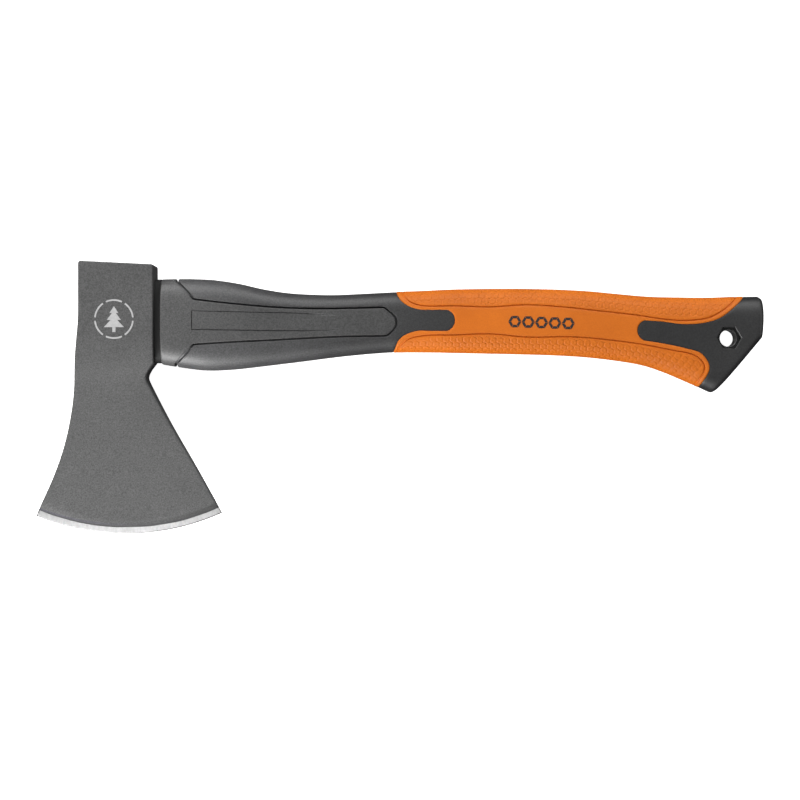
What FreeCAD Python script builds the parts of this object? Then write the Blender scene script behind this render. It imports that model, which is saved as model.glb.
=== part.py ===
"""Hand axe with a forged steel head and a moulded handle on a fibreglass core, in millimetres.

Design frame: X runs along the handle, from the underside of the head (x = 0) to the pommel,
Y points from the cutting edge to the poll, and Z goes across the blade, with z = 0 on the
middle plane.  The whole axe is moved at the end, so that it lies on its side on z = 0 with the
origin under the middle of its bounding box.
"""
import FreeCAD
import Part
import math
import os

V = FreeCAD.Vector
FAR = 80.0                  # further than anything reaches from the handle's line

# ---- head: outline in the XY plane -------------------------------------------------------
HEAD_LENGTH = 37.1          # from the underside to the top face, along the handle
POLL_Y = 28.0               # poll height at the underside
POLL_RISE = 1.8             # the poll is this much higher at the top face
POLL_CORNER_TOP = 1.2       # outline radius, top face to poll
POLL_CORNER_UNDER = 2.2     # outline radius, underside to poll
EDGE_RADIUS = 117.7         # cutting edge, in the XY plane
EDGE_CENTRE = V(-14.9, 11.7, 0)
TOE_X, HEEL_X = -59.6, 33.4
NOTCH = [(0.0, -20.8), (-2.9, -25.0), (-3.9, -28.2), (-2.4, -32.0)]
BEARD_MIDDLE = [(7.3, -50.2), (21.3, -74.2)]
TOP_FACE_CURVE = [(-37.2, 0.8), (-38.9, -18.2), (-40.2, -38.2), (-44.0, -58.2), (-49.2, -74.2)]

# ---- head: thickness and edges -----------------------------------------------------------
CHEEK_HALF = 13.0           # half the thickness over the eye
CHEEK_FLAT_TO_Y = -9.0      # the cheeks are parallel above this height
TAPER = [(-20.0, 11.2), (-32.0, 8.2), (-48.0, 5.9), (-66.0, 4.3), (-84.0, 3.0), (-110.0, 1.4)]
GRIND_WIDTH = 3.2           # bare ground bevel beside the cutting edge
GRIND_ANGLE = 20.0          # degrees to the middle plane
FACET_ANGLE = 14.0          # the painted facet behind it
EDGE_FLAT = 0.12            # half the thickness left at the very edge
CHEEK_FILLET = 1.1

# ---- eye and what fills it ---------------------------------------------------------------
EYE_HALF_Y, EYE_HALF_Z = 18.6, 8.4          # at the underside
EYE_FLARE = 0.9                             # wider by this much a side at the top face
TENON_HALF_Y, TENON_HALF_Z = 17.9, 7.7
TENON_END_X = -30.5
CAP_OUTER_X, CAP_INNER_X = -36.8, -34.2
CAP_GAP = 0.15
SPACER_HALF_Y, SPACER_HALF_Z = 20.9, 9.8
COLLAR_X = 3.5                              # gap between the head and the collar
OVAL_POWER = 2.6

# ---- fibreglass core ---------------------------------------------------------------------
CORE_HALF_Y, CORE_HALF_Z = 9.0, 4.6
CORE_START_X, CORE_END_X = -32.5, 262.0
CORE_Y = -1.5

# ---- handle envelope: values along X, joined smoothly ------------------------------------
HANDLE_TOP = [(0, 20.9), (12, 21.2), (21, 21.1), (30, 20.6), (42, 18.8), (54, 16.1), (66, 14.2),
              (78, 13.4), (90, 13.2), (104, 13.8), (120, 14.6), (132, 15.0), (150, 15.8),
              (175, 16.1), (198, 15.8), (216, 14.9), (232, 13.4), (246, 12.2), (262, 11.8),
              (276, 11.7), (290, 12.2), (315, 12.7)]
HANDLE_BOTTOM = [(0, -20.9), (12, -22.9), (25, -24.5), (38, -24.2), (54, -22.5), (72, -20.3),
                 (96, -17.3), (118, -15.5), (134, -15.3), (156, -15.7), (180, -16.2),
                 (200, -16.8), (216, -17.8), (232, -19.7), (244, -21.9), (254, -25.2),
                 (264, -29.4), (271, -32.6), (285, -39.3), (315, -53.6)]
HANDLE_HALF_Z = [(0, 13.2), (12, 13.7), (26, 14.0), (45, 13.3), (70, 12.2), (95, 11.8),
                 (120, 12.0), (150, 12.5), (190, 12.7), (225, 12.2), (255, 11.8), (285, 11.6),
                 (315, 11.6)]
HANDLE_POWER = 3.0
SECTION_POINTS = 32
STATIONS = [12, 20, 28, 38, 50, 62, 76, 92, 110, 128, 146, 166, 188, 208, 226, 242, 256, 270,
            285, 300]
LAST_STATION = 315.0

# ---- pommel end --------------------------------------------------------------------------
END_TOP, END_BULGE, END_CORNER = (302.3, 12.6), (303.0, 3.2), (302.1, -8.0)
SLANT_SLOPE = 1.203         # of the face that runs from the end corner to the heel tip
POMMEL_FILLET = 2.4
HOLE_X, HOLE_Y = 285.4, -8.5
HOLE_RADIUS = 4.0
HEX_ACROSS_FLATS = 10.4

# ---- mould lines, as seen on the sides ---------------------------------------------------
COLLAR_TOP, COLLAR_FOOT = (10.8, 20.0), (10.3, -21.4)
RIB_UPPER = [(19.8, 10.3), (37.3, 8.3), (61.3, 6.3), (84.0, 5.7), (114.3, 6.3)]
RIB_LOWER = [(115.9, -7.0), (90.3, -7.5), (61.3, -9.0), (37.3, -10.2), (19.8, -11.4)]
RIB_TIP = [(118.0, 3.1), (119.7, 1.3), (120.1, -0.6), (119.9, -2.6), (118.5, -4.5)]
PANEL_UPPER = [(19.3, 5.0), (46.0, 4.4), (73.0, 3.8), (101.0, 2.0)]
PANEL_LOWER = [(101.0, -4.4), (73.0, -5.0), (46.0, -4.8), (19.3, -4.4)]
PANEL_DEPTH = 0.6
GROOVE_WIDTH, GROOVE_DEPTH = 1.0, 1.4
FRONT_UPPER = [(120.1, 14.5), (121.8, 11.3), (124.8, 8.3), (130.7, 5.8), (138.0, 5.4),
               (145.6, 5.4)]
FRONT_TONGUE_TIP = (149.5, 0.2)
FRONT_LOWER = [(145.6, -5.0), (138.0, -5.0), (130.7, -5.0), (124.8, -7.0), (121.8, -9.5),
               (118.8, -15.6)]
REAR_TONGUE_TIP = (239.9, -5.2)
REAR_UPPER = [(243.3, 0.2), (251.3, -0.3), (262.0, -1.6), (272.3, -1.1), (280.8, 1.4),
              (289.8, 8.3), (294.0, 12.1)]
REAR_LOWER = [(243.3, -9.8), (251.3, -11.0), (263.3, -13.5), (271.8, -16.4), (275.7, -23.3),
              (271.2, -32.5), (265.0, -42.0)]

# ---- layers ------------------------------------------------------------------------------
GRIP_THICKNESS = 2.2        # below the shell's surface
GRIP_PROUD = 0.5            # above it
SHEATH_COVER_Y, SHEATH_COVER_Z = 5.0, 4.0
POMMEL_COVER = 6.0
GRIP_LOFT_START = 112.0


def smooth(table, x):
    """Value at x of the curve that joins the table's points with matching slopes."""
    xs = [p[0] for p in table]
    ys = [p[1] for p in table]
    slopes = [(ys[1] - ys[0]) / (xs[1] - xs[0])]
    for i in range(1, len(xs) - 1):
        slopes.append((ys[i + 1] - ys[i - 1]) / (xs[i + 1] - xs[i - 1]))
    slopes.append((ys[-1] - ys[-2]) / (xs[-1] - xs[-2]))
    i = max(0, min(len(xs) - 2, sum(1 for v in xs if v <= x) - 1))
    step = xs[i + 1] - xs[i]
    t = (x - xs[i]) / step
    return ((2 * t**3 - 3 * t**2 + 1) * ys[i] + (t**3 - 2 * t**2 + t) * step * slopes[i]
            + (3 * t**2 - 2 * t**3) * ys[i + 1] + (t**3 - t**2) * step * slopes[i + 1])


def oval(x, centre_y, half_y, half_z, power=OVAL_POWER):
    """Closed wire of a rounded oval in the plane at x."""
    points = []
    for i in range(SECTION_POINTS):
        angle = 2 * math.pi * i / SECTION_POINTS
        c, s = math.cos(angle), math.sin(angle)
        reach = (abs(c / half_y) ** power + abs(s / half_z) ** power) ** (-1 / power)
        points.append(V(x, centre_y + reach * c, reach * s))
    curve = Part.BSplineCurve()
    curve.interpolate(Points=points, PeriodicFlag=True)
    return Part.Wire(curve.toShape())


def handle_body(inset_y, inset_z, start=COLLAR_X, end=LAST_STATION):
    """The handle's outer form, or one inside or outside it, between two places along X."""
    places = [start] + [x for x in STATIONS if start + 3 < x < end - 3] + [end]
    wires = []
    for x in places:
        top, bottom = smooth(HANDLE_TOP, x), smooth(HANDLE_BOTTOM, x)
        half_y = (top - bottom) / 2 - inset_y
        half_z = smooth(HANDLE_HALF_Z, x) - inset_z
        wires.append(oval(x, (top + bottom) / 2, half_y, half_z, HANDLE_POWER))
    return Part.makeLoft(wires, True)


def oval_bar(start, end, centre_y, half_y, half_z, flare=0.0):
    """Straight oval bar along X, wider at its end by flare on each side."""
    wires = [oval(start, centre_y, half_y, half_z),
             oval(end, centre_y, half_y + flare, half_z + flare)]
    return Part.makeLoft(wires, True)


def spline(points):
    curve = Part.BSplineCurve()
    curve.interpolate([V(x, y, 0) for x, y in points])
    return curve.toShape()


def line(a, b):
    return Part.LineSegment(V(a[0], a[1], 0), V(b[0], b[1], 0)).toShape()


def arc(a, middle, b):
    return Part.Arc(V(a[0], a[1], 0), V(middle[0], middle[1], 0), V(b[0], b[1], 0)).toShape()


def flat_face(edges):
    """Face in the XY plane inside a closed run of edges."""
    return Part.Face(Part.Wire(Part.__sortEdges__(edges)))


def prism(face, half=FAR):
    """A face of the XY plane, run from -half to +half across the blade."""
    lowered = face.copy()
    lowered.translate(V(0, 0, -half))
    return lowered.extrude(V(0, 0, 2 * half))


# ---- head --------------------------------------------------------------------------------
def edge_point(x):
    rise = math.sqrt(EDGE_RADIUS**2 - (x - EDGE_CENTRE.x) ** 2)
    return (x, EDGE_CENTRE.y - rise)


def head_outline():
    toe, heel = edge_point(TOE_X), edge_point(HEEL_X)
    top_corner, under_corner = (-HEAD_LENGTH, POLL_Y + POLL_RISE), (0.0, POLL_Y)
    return flat_face([line(top_corner, under_corner),
                      line(under_corner, NOTCH[0]),
                      spline(NOTCH),
                      spline([NOTCH[-1]] + BEARD_MIDDLE + [heel]),
                      arc(heel, edge_point(EDGE_CENTRE.x), toe),
                      spline([toe] + TOP_FACE_CURVE[::-1]),
                      line(TOP_FACE_CURVE[0], top_corner)])


def cheek_side(sign):
    curve = Part.BSplineCurve()
    points = [(CHEEK_FLAT_TO_Y, CHEEK_HALF)] + TAPER
    curve.interpolate(Points=[V(-FAR, y, sign * z) for y, z in points],
                      InitialTangent=V(0, -1, 0), FinalTangent=V(0, -1, -sign * 0.05))
    return curve.toShape()


def cheek_taper():
    """The head's thickness as a profile in the YZ plane, run along X."""
    low_y, low_z = TAPER[-1]
    corners = [V(-FAR, CHEEK_FLAT_TO_Y, CHEEK_HALF), V(-FAR, FAR, CHEEK_HALF),
               V(-FAR, FAR, -CHEEK_HALF), V(-FAR, CHEEK_FLAT_TO_Y, -CHEEK_HALF)]
    edges = [Part.LineSegment(a, b).toShape() for a, b in zip(corners, corners[1:])]
    edges.append(Part.LineSegment(V(-FAR, low_y, low_z), V(-FAR, low_y, -low_z)).toShape())
    edges += [cheek_side(1), cheek_side(-1)]
    return flat_face(edges).extrude(V(2 * FAR, 0, 0))


def grinding_space():
    """Everything inside the ground bevels and the facets behind them, round the edge's arc."""
    grind_z = EDGE_FLAT + GRIND_WIDTH * math.tan(math.radians(GRIND_ANGLE))
    inner_r = EDGE_RADIUS - GRIND_WIDTH
    peak = grind_z + inner_r * math.tan(math.radians(FACET_ANGLE))
    half = [V(0, 0, peak), V(inner_r, 0, grind_z), V(EDGE_RADIUS, 0, EDGE_FLAT),
            V(EDGE_RADIUS + 1, 0, EDGE_FLAT)]
    mirrored = [V(p.x, 0, -p.z) for p in half[::-1]]
    profile = Part.Face(Part.makePolygon(half + mirrored + [half[0]]))
    space = profile.revolve(V(0, 0, 0), V(0, 0, 1), 360)
    space.translate(EDGE_CENTRE)
    return space


def round_poll_corners(blank):
    corners = [(POLL_CORNER_TOP, -HEAD_LENGTH, POLL_Y + POLL_RISE),
               (POLL_CORNER_UNDER, 0.0, POLL_Y)]
    for radius, x, y in corners:
        near = [e for e in blank.Edges
                if math.dist((e.CenterOfMass.x, e.CenterOfMass.y), (x, y)) < 0.1]
        blank = blank.makeFillet(radius, near)
    return blank


def cheek_rim(blank):
    """Edges of the thick part of the head, where the cheeks meet its sides."""
    rim = []
    for edge in blank.Edges:
        on_a_cheek = abs(edge.CenterOfMass.z) > 1.0
        above_the_taper = edge.BoundBox.YMin > CHEEK_FLAT_TO_Y - 0.5
        on_the_seam = edge.BoundBox.YLength < 0.01
        if on_a_cheek and above_the_taper and not on_the_seam:
            rim.append(edge)
    return rim


def eye_space(grow=0.0):
    return oval_bar(0.5, -HEAD_LENGTH - 3.0, 0.0, EYE_HALF_Y + grow, EYE_HALF_Z + grow, EYE_FLARE)


def axe_head():
    blank = prism(head_outline(), FAR).common(cheek_taper())
    blank = round_poll_corners(blank)
    blank = blank.makeFillet(CHEEK_FILLET, cheek_rim(blank))
    return blank.common(grinding_space()).cut(eye_space())


# ---- eye filling -------------------------------------------------------------------------
def fibreglass_core():
    return oval_bar(CORE_START_X, CORE_END_X, CORE_Y, CORE_HALF_Y, CORE_HALF_Z)


def tenon():
    return oval_bar(TENON_END_X, COLLAR_X, 0.0, TENON_HALF_Y, TENON_HALF_Z)


def eye_cap():
    blank = eye_space(-CAP_GAP)
    slab = Part.makeBox(CAP_INNER_X - CAP_OUTER_X, 2 * FAR, 2 * FAR, V(CAP_OUTER_X, -FAR, -FAR))
    plug = blank.common(slab)
    outer = [e for e in plug.Edges if abs(e.CenterOfMass.x - CAP_OUTER_X) < 0.01]
    return plug.makeFillet(0.7, outer)


def eye_resin():
    slab = Part.makeBox(-CAP_INNER_X, 2 * FAR, 2 * FAR, V(CAP_INNER_X, -FAR, -FAR))
    return eye_space().common(slab).cut(tenon()).cut(fibreglass_core())


def shoulder_spacer():
    return oval_bar(0.0, COLLAR_X, 0.0, SPACER_HALF_Y, SPACER_HALF_Z).cut(tenon())


# ---- handle ------------------------------------------------------------------------------
def pommel_cut(inset=0.0):
    """All that lies on the handle's side of the end face and the slanting face."""
    slant_in = inset * math.hypot(1.0, SLANT_SLOPE)
    top = (END_TOP[0] - inset, END_TOP[1])
    bulge = (END_BULGE[0] - inset, END_BULGE[1])
    corner_x = END_CORNER[0] - inset
    corner = (corner_x, END_CORNER[1] + slant_in - SLANT_SLOPE * inset)
    foot = (corner_x - 60.0, corner[1] - 60.0 * SLANT_SLOPE)
    outer = [(top[0], FAR), (-FAR, FAR), (-FAR, foot[1])]
    return prism(flat_face([arc(corner, bulge, top), line(top, outer[0]), line(outer[0], outer[1]),
                            line(outer[1], outer[2]), line(outer[2], foot), line(foot, corner)]))


def end_edges(body):
    """Edges round the end face and round the slanting face."""
    found = []
    for edge in body.Edges:
        box = edge.BoundBox
        on_end = box.XMin > END_CORNER[0] - 0.4
        middle = edge.valueAt((edge.FirstParameter + edge.LastParameter) / 2)
        slant_y = END_CORNER[1] - SLANT_SLOPE * (END_CORNER[0] - middle.x)
        if on_end or abs(middle.y - slant_y) < 0.05:
            found.append(edge)
    return found


def handle_envelope():
    body = handle_body(0.0, 0.0).common(pommel_cut())
    return body.makeFillet(POMMEL_FILLET, end_edges(body))


def shifted(run, distance):
    """An open run of points moved sideways by distance, to the left of the way it goes."""
    normals = []
    for a, b in zip(run, run[1:]):
        length = math.dist(a, b)
        normals.append(((a[1] - b[1]) / length, (b[0] - a[0]) / length))
    before, after = normals[:1] + normals, normals + normals[-1:]
    moved = []
    for point, m, n in zip(run, before, after):
        k = distance / (1.0 + m[0] * n[0] + m[1] * n[1])
        moved.append((point[0] + k * (m[0] + n[0]), point[1] + k * (m[1] + n[1])))
    return moved


def collar_outline(grow=0.0):
    """The part of the side view where the sheath's collar and rib come to the surface."""
    run = [(COLLAR_TOP[0], FAR), COLLAR_TOP] + RIB_UPPER + RIB_TIP + RIB_LOWER
    run = shifted(run + [COLLAR_FOOT, (COLLAR_FOOT[0], -FAR)], grow)
    tip_start = 2 + len(RIB_UPPER)
    tip_end = tip_start + len(RIB_TIP)
    upper, tip, lower = run[2:tip_start], run[tip_start:tip_end], run[tip_end:-2]
    edges = [line(run[0], run[1]), line(run[1], upper[0]), spline(upper), line(upper[-1], tip[0]),
             spline(tip), line(tip[-1], lower[0]), spline(lower), line(lower[-1], run[-2]),
             line(run[-2], run[-1])]
    front = COLLAR_X - 1.0
    return flat_face(edges + [line(run[-1], (front, -FAR)), line((front, -FAR), (front, FAR)),
                              line((front, FAR), run[0])])


def rib_panel():
    """Shallow tapered panel sunk in the rib on both sides."""
    return flat_face([spline(PANEL_UPPER), line(PANEL_UPPER[-1], PANEL_LOWER[0]),
                      spline(PANEL_LOWER), line(PANEL_LOWER[-1], PANEL_UPPER[0])])


def grip_outline():
    """The part of the side view that the soft grip covers."""
    top_front, top_rear = (FRONT_UPPER[0][0], FAR), (REAR_UPPER[-1][0], FAR)
    foot_front, foot_rear = (FRONT_LOWER[-1][0], -FAR), (REAR_LOWER[-1][0], -FAR)
    front_nose = arc(FRONT_UPPER[-1], FRONT_TONGUE_TIP, FRONT_LOWER[0])
    rear_nose = arc(REAR_UPPER[0], REAR_TONGUE_TIP, REAR_LOWER[0])
    return flat_face([line(top_front, FRONT_UPPER[0]), spline(FRONT_UPPER), front_nose,
                      spline(FRONT_LOWER), line(FRONT_LOWER[-1], foot_front),
                      line(foot_front, foot_rear), line(foot_rear, REAR_LOWER[-1]),
                      spline(REAR_LOWER), rear_nose, spline(REAR_UPPER),
                      line(REAR_UPPER[-1], top_rear), line(top_rear, top_front)])


def hex_recess():
    corner = HEX_ACROSS_FLATS / math.sqrt(3)
    points = []
    for i in range(7):
        angle = math.radians(60 * i)
        points.append(V(HOLE_X + corner * math.cos(angle), HOLE_Y + corner * math.sin(angle), 0))
    return prism(Part.Face(Part.makePolygon(points)))


def hang_hole():
    return Part.makeCylinder(HOLE_RADIUS, 2 * FAR, V(HOLE_X, HOLE_Y, -FAR))


def under_grip():
    return handle_body(GRIP_THICKNESS, GRIP_THICKNESS, GRIP_LOFT_START, LAST_STATION)


def soft_grip():
    outer = handle_body(-GRIP_PROUD, -GRIP_PROUD, GRIP_LOFT_START, LAST_STATION)
    return outer.cut(under_grip()).common(prism(grip_outline()))


def sheath_core():
    """The sheath inside the shell, without its collar and rib."""
    return handle_body(SHEATH_COVER_Y, SHEATH_COVER_Z).common(pommel_cut(POMMEL_COVER))


def inner_sheath(envelope):
    surface = envelope.common(prism(collar_outline()))
    panel_cut = prism(rib_panel()).cut(handle_body(PANEL_DEPTH, PANEL_DEPTH))
    sheath = sheath_core().fuse(surface).fuse(tenon()).cut(panel_cut)
    return sheath.cut(fibreglass_core()).cut(hang_hole()).removeSplitter()


def outer_shell(envelope):
    grooves = prism(collar_outline(GROOVE_WIDTH)).cut(handle_body(GROOVE_DEPTH, GROOVE_DEPTH))
    grip_room = prism(grip_outline()).cut(under_grip())
    shell = envelope.cut(prism(collar_outline())).cut(sheath_core()).cut(grooves)
    return shell.cut(grip_room).cut(hex_recess())


def build():
    envelope = handle_envelope()
    return {"axe_head": axe_head(), "eye_cap": eye_cap(), "eye_resin": eye_resin(),
            "shoulder_spacer": shoulder_spacer(), "fibreglass_core": fibreglass_core(),
            "inner_sheath": inner_sheath(envelope), "outer_shell": outer_shell(envelope),
            "soft_grip": soft_grip()}


def main():
    os.makedirs("parts", exist_ok=True)
    nodes = build()
    whole = Part.makeCompound(list(nodes.values())).optimalBoundingBox()
    shift = V(-(whole.XMin + whole.XMax) / 2, -(whole.YMin + whole.YMax) / 2, -whole.ZMin)
    for name, shape in nodes.items():
        shape.translate(shift)
        print(name, shape.ShapeType, shape.isValid(), len(shape.Solids), round(shape.Volume))
        shape.exportStep("parts/" + name + ".step")
    print("shift", shift)
    print("size", whole.XLength, whole.YLength, whole.ZLength)


main()
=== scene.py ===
import bpy
import bmesh
import math
import numpy as np
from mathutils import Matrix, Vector, geometry


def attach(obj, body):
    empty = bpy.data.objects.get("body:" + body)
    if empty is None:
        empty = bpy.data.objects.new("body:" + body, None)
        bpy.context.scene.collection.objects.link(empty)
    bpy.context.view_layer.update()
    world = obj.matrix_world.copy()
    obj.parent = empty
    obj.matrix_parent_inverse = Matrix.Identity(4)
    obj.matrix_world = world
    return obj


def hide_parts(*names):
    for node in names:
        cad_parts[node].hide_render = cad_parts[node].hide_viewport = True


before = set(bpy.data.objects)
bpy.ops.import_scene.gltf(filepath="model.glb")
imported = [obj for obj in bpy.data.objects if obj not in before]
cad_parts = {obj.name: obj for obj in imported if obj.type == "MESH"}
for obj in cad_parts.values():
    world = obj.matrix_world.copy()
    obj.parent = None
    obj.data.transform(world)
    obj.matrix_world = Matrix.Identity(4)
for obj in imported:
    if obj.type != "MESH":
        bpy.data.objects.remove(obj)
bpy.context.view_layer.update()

# All sizes here are millimetres in the axe's own design frame: X runs along the handle from the
# underside of the head, Y points from the cutting edge to the poll, Z goes across the blade and
# z = 0 is the middle plane.  TO_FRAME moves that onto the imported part.
MM = 0.001
WELD = 0.004                # points nearer than this are one point
SLIVER = 0.003              # triangles thinner than this along a border are rounding errors
TO_FRAME = np.array([-121.70, 38.13, 13.99])

# ---- the handle's outer form, the same curves as in the solids ----------------------------
HANDLE_TOP = [(0, 20.9), (12, 21.2), (21, 21.1), (30, 20.6), (42, 18.8), (54, 16.1), (66, 14.2),
              (78, 13.4), (90, 13.2), (104, 13.8), (120, 14.6), (132, 15.0), (150, 15.8),
              (175, 16.1), (198, 15.8), (216, 14.9), (232, 13.4), (246, 12.2), (262, 11.8),
              (276, 11.7), (290, 12.2), (315, 12.7)]
HANDLE_BOTTOM = [(0, -20.9), (12, -22.9), (25, -24.5), (38, -24.2), (54, -22.5), (72, -20.3),
                 (96, -17.3), (118, -15.5), (134, -15.3), (156, -15.7), (180, -16.2),
                 (200, -16.8), (216, -17.8), (232, -19.7), (244, -21.9), (254, -25.2),
                 (264, -29.4), (271, -32.6), (285, -39.3), (315, -53.6)]
HANDLE_HALF_Z = [(0, 13.2), (12, 13.7), (26, 14.0), (45, 13.3), (70, 12.2), (95, 11.8),
                 (120, 12.0), (150, 12.5), (190, 12.7), (225, 12.2), (255, 11.8), (285, 11.6),
                 (315, 11.6)]
SECTION_POWER = 3.0
COLLAR_X = 3.5
HANDLE_END_X = 314.0
OFF_HANDLE = 30.0           # farther from the middle than the handle reaches, near the head

# ---- mould lines in the side view ----------------------------------------------------------
COLLAR_TOP, COLLAR_FOOT = (10.8, 20.0), (10.3, -21.4)
RIB_UPPER = [(19.8, 10.3), (37.3, 8.3), (61.3, 6.3), (84.0, 5.7), (114.3, 6.3)]
RIB_LOWER = [(115.9, -7.0), (90.3, -7.5), (61.3, -9.0), (37.3, -10.2), (19.8, -11.4)]
RIB_TIP = [(118.0, 3.1), (119.7, 1.3), (120.1, -0.6), (119.9, -2.6), (118.5, -4.5)]
FRONT_TIP, REAR_TIP = (149.5, 0.2), (239.9, -5.2)
FRONT_UPPER = [(120.1, 15.4), (121.8, 11.3), (124.8, 8.3), (130.7, 5.8), (138.0, 5.4),
               (145.6, 5.4)]
FRONT_LOWER = [(145.6, -5.0), (138.0, -5.0), (130.7, -5.0), (124.8, -7.0), (121.8, -9.5),
               (118.8, -16.4)]
REAR_UPPER = [(243.3, 0.2), (251.3, -0.3), (262.0, -1.6), (272.3, -1.1), (280.8, 1.4),
              (289.8, 8.3), (294.0, 12.9)]
REAR_LOWER = [(243.3, -9.8), (251.3, -11.0), (263.3, -13.5), (271.8, -16.4), (275.7, -23.3),
              (270.6, -33.6)]
BAND_UPPER = [(123.2, 16.0), (124.4, 12.2), (127.0, 9.4), (132.9, 7.5), (149.3, 7.3),
              (167.3, 6.8), (184.3, 7.8), (202.3, 6.8), (220.3, 4.9), (238.3, 2.9), (256.3, 0.4),
              (266.3, 0.2), (275.5, 1.6), (282.6, 5.2), (288.0, 9.8), (290.3, 13.0)]
BAND_LOWER = [(120.4, -16.6), (122.3, -12.6), (126.5, -9.0), (134.5, -7.3), (149.3, -7.0),
              (167.3, -6.5), (184.3, -8.0), (208.3, -8.0), (226.3, -9.5), (244.3, -12.0),
              (256.3, -14.4), (266.3, -16.4), (271.0, -18.9), (273.4, -23.8), (268.0, -33.0)]
HOLE = (285.4, -8.5)
HEX_ACROSS_FLATS = 10.4
HEX_FLOOR_Z = 7.56
BORE_RADIUS, BOSS_RADIUS = 4.0, 6.7
BOSS_PROFILE = [(BORE_RADIUS, 0.0), (BORE_RADIUS, 2.6), (4.2, 2.75), (4.2, HEX_FLOOR_Z - 0.3),
                (4.35, HEX_FLOOR_Z), (BOSS_RADIUS, HEX_FLOOR_Z), (BOSS_RADIUS, 0.0)]
# Inside this radius the boss gets painted light, standing in for light on the bore's wall.
PAINTED_LIGHT_BORE_RADIUS = 4.3
END_TOP, END_BULGE, END_CORNER = (302.3, 12.6), (303.0, 3.2), (302.1, -8.0)
SLANT_SLOPE = 1.203


# ============================== plane geometry ==============================================
def hermite(table, x):
    """Values at x of the curve that joins the table's points with matching slopes."""
    xs, ys = np.array(table, float).T
    slopes = np.empty_like(ys)
    slopes[1:-1] = (ys[2:] - ys[:-2]) / (xs[2:] - xs[:-2])
    slopes[0] = (ys[1] - ys[0]) / (xs[1] - xs[0])
    slopes[-1] = (ys[-1] - ys[-2]) / (xs[-1] - xs[-2])
    i = np.clip(np.searchsorted(xs, x, side="right") - 1, 0, len(xs) - 2)
    step = xs[i + 1] - xs[i]
    t = (x - xs[i]) / step
    return ((2 * t**3 - 3 * t**2 + 1) * ys[i] + (t**3 - 2 * t**2 + t) * step * slopes[i]
            + (3 * t**2 - 2 * t**3) * ys[i + 1] + (t**3 - t**2) * step * slopes[i + 1])


def respaced(run, spacing):
    """The run of points again, evenly spaced along it, with both its ends kept."""
    run = np.asarray(run, float)
    along = np.concatenate([[0], np.cumsum(np.linalg.norm(np.diff(run, axis=0), axis=1))])
    count = max(1, round(along[-1] / spacing))
    places = np.linspace(0, along[-1], count + 1)
    return np.stack([np.interp(places, along, run[:, k]) for k in range(run.shape[1])], 1)


def straight(a, b, spacing=0.6):
    """Straight run from a to b."""
    return respaced([a, b], spacing)


def curve(points, spacing=0.7):
    """Smooth run through the points (a centripetal Catmull-Rom curve), evenly spaced."""
    p = np.asarray(points, float)
    p = np.vstack([2 * p[0] - p[1], p, 2 * p[-1] - p[-2]])
    knots = np.concatenate([[0], np.cumsum(np.linalg.norm(np.diff(p, axis=0), axis=1) ** 0.5)])
    out = []
    for i in range(1, len(p) - 2):
        k0, k1, k2, k3 = knots[i - 1:i + 3]
        t = np.linspace(k1, k2, 24, endpoint=False)[:, None]
        a1 = (k1 - t) / (k1 - k0) * p[i - 1] + (t - k0) / (k1 - k0) * p[i]
        a2 = (k2 - t) / (k2 - k1) * p[i] + (t - k1) / (k2 - k1) * p[i + 1]
        a3 = (k3 - t) / (k3 - k2) * p[i + 1] + (t - k2) / (k3 - k2) * p[i + 2]
        b1 = (k2 - t) / (k2 - k0) * a1 + (t - k0) / (k2 - k0) * a2
        b2 = (k3 - t) / (k3 - k1) * a2 + (t - k1) / (k3 - k1) * a3
        out.append((k2 - t) / (k2 - k1) * b1 + (t - k1) / (k2 - k1) * b2)
    return respaced(np.vstack(out + [p[-2:-1]]), spacing)


def on_circle(angles):
    """Points of the unit circle at the angles."""
    return np.stack([np.cos(angles), np.sin(angles)], 1)


def arc_through(a, middle, b, spacing=0.5):
    """Round run from a through middle to b."""
    (ax, ay), (mx, my), (bx, by) = a, middle, b
    d = 2 * (ax * (my - by) + mx * (by - ay) + bx * (ay - my))
    aa, mm, bb = ax * ax + ay * ay, mx * mx + my * my, bx * bx + by * by
    cx = (aa * (my - by) + mm * (by - ay) + bb * (ay - my)) / d
    cy = (aa * (bx - mx) + mm * (ax - bx) + bb * (mx - ax)) / d
    radius = math.hypot(ax - cx, ay - cy)
    start, end = math.atan2(ay - cy, ax - cx), math.atan2(by - cy, bx - cx)
    via = math.atan2(my - cy, mx - cx)
    turn = (end - start) % (2 * math.pi)
    if (via - start) % (2 * math.pi) > turn:
        turn -= 2 * math.pi
    count = max(2, round(abs(turn) * radius / spacing))
    angles = start + turn * np.linspace(0, 1, count + 1)
    return np.array([cx, cy]) + radius * on_circle(angles)


def joined(*runs):
    """Runs put end to end, without the doubled points where they meet."""
    out = [np.asarray(runs[0], float)]
    for run in runs[1:]:
        run = np.asarray(run, float)
        out.append(run[1:] if np.linalg.norm(run[0] - out[-1][-1]) < 1e-6 else run)
    return np.vstack(out)


def closed_run(loop):
    """The loop's points with the first one again at the end."""
    return np.vstack([loop, loop[:1]])


def side_normals(run, closed=False):
    """Unit normals to the left of a run of points."""
    if closed:
        ahead = np.roll(run, -1, axis=0) - np.roll(run, 1, axis=0)
    else:
        ahead = np.gradient(run, axis=0)
    ahead /= np.linalg.norm(ahead, axis=1)[:, None]
    return np.stack([-ahead[:, 1], ahead[:, 0]], 1)


def to_run(points, run):
    """Distance from each point to a run of points, and the fraction-index of the nearest place."""
    best = np.full(len(points), 1e9)
    place = np.zeros(len(points))
    for i in range(len(run) - 1):
        a, ab = run[i], run[i + 1] - run[i]
        t = np.clip((points - a) @ ab / max(ab @ ab, 1e-12), 0, 1)
        d = np.linalg.norm(points - a - t[:, None] * ab, axis=1)
        nearer = d < best
        best[nearer] = d[nearer]
        place[nearer] = i + t[nearer]
    return best, place


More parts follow.
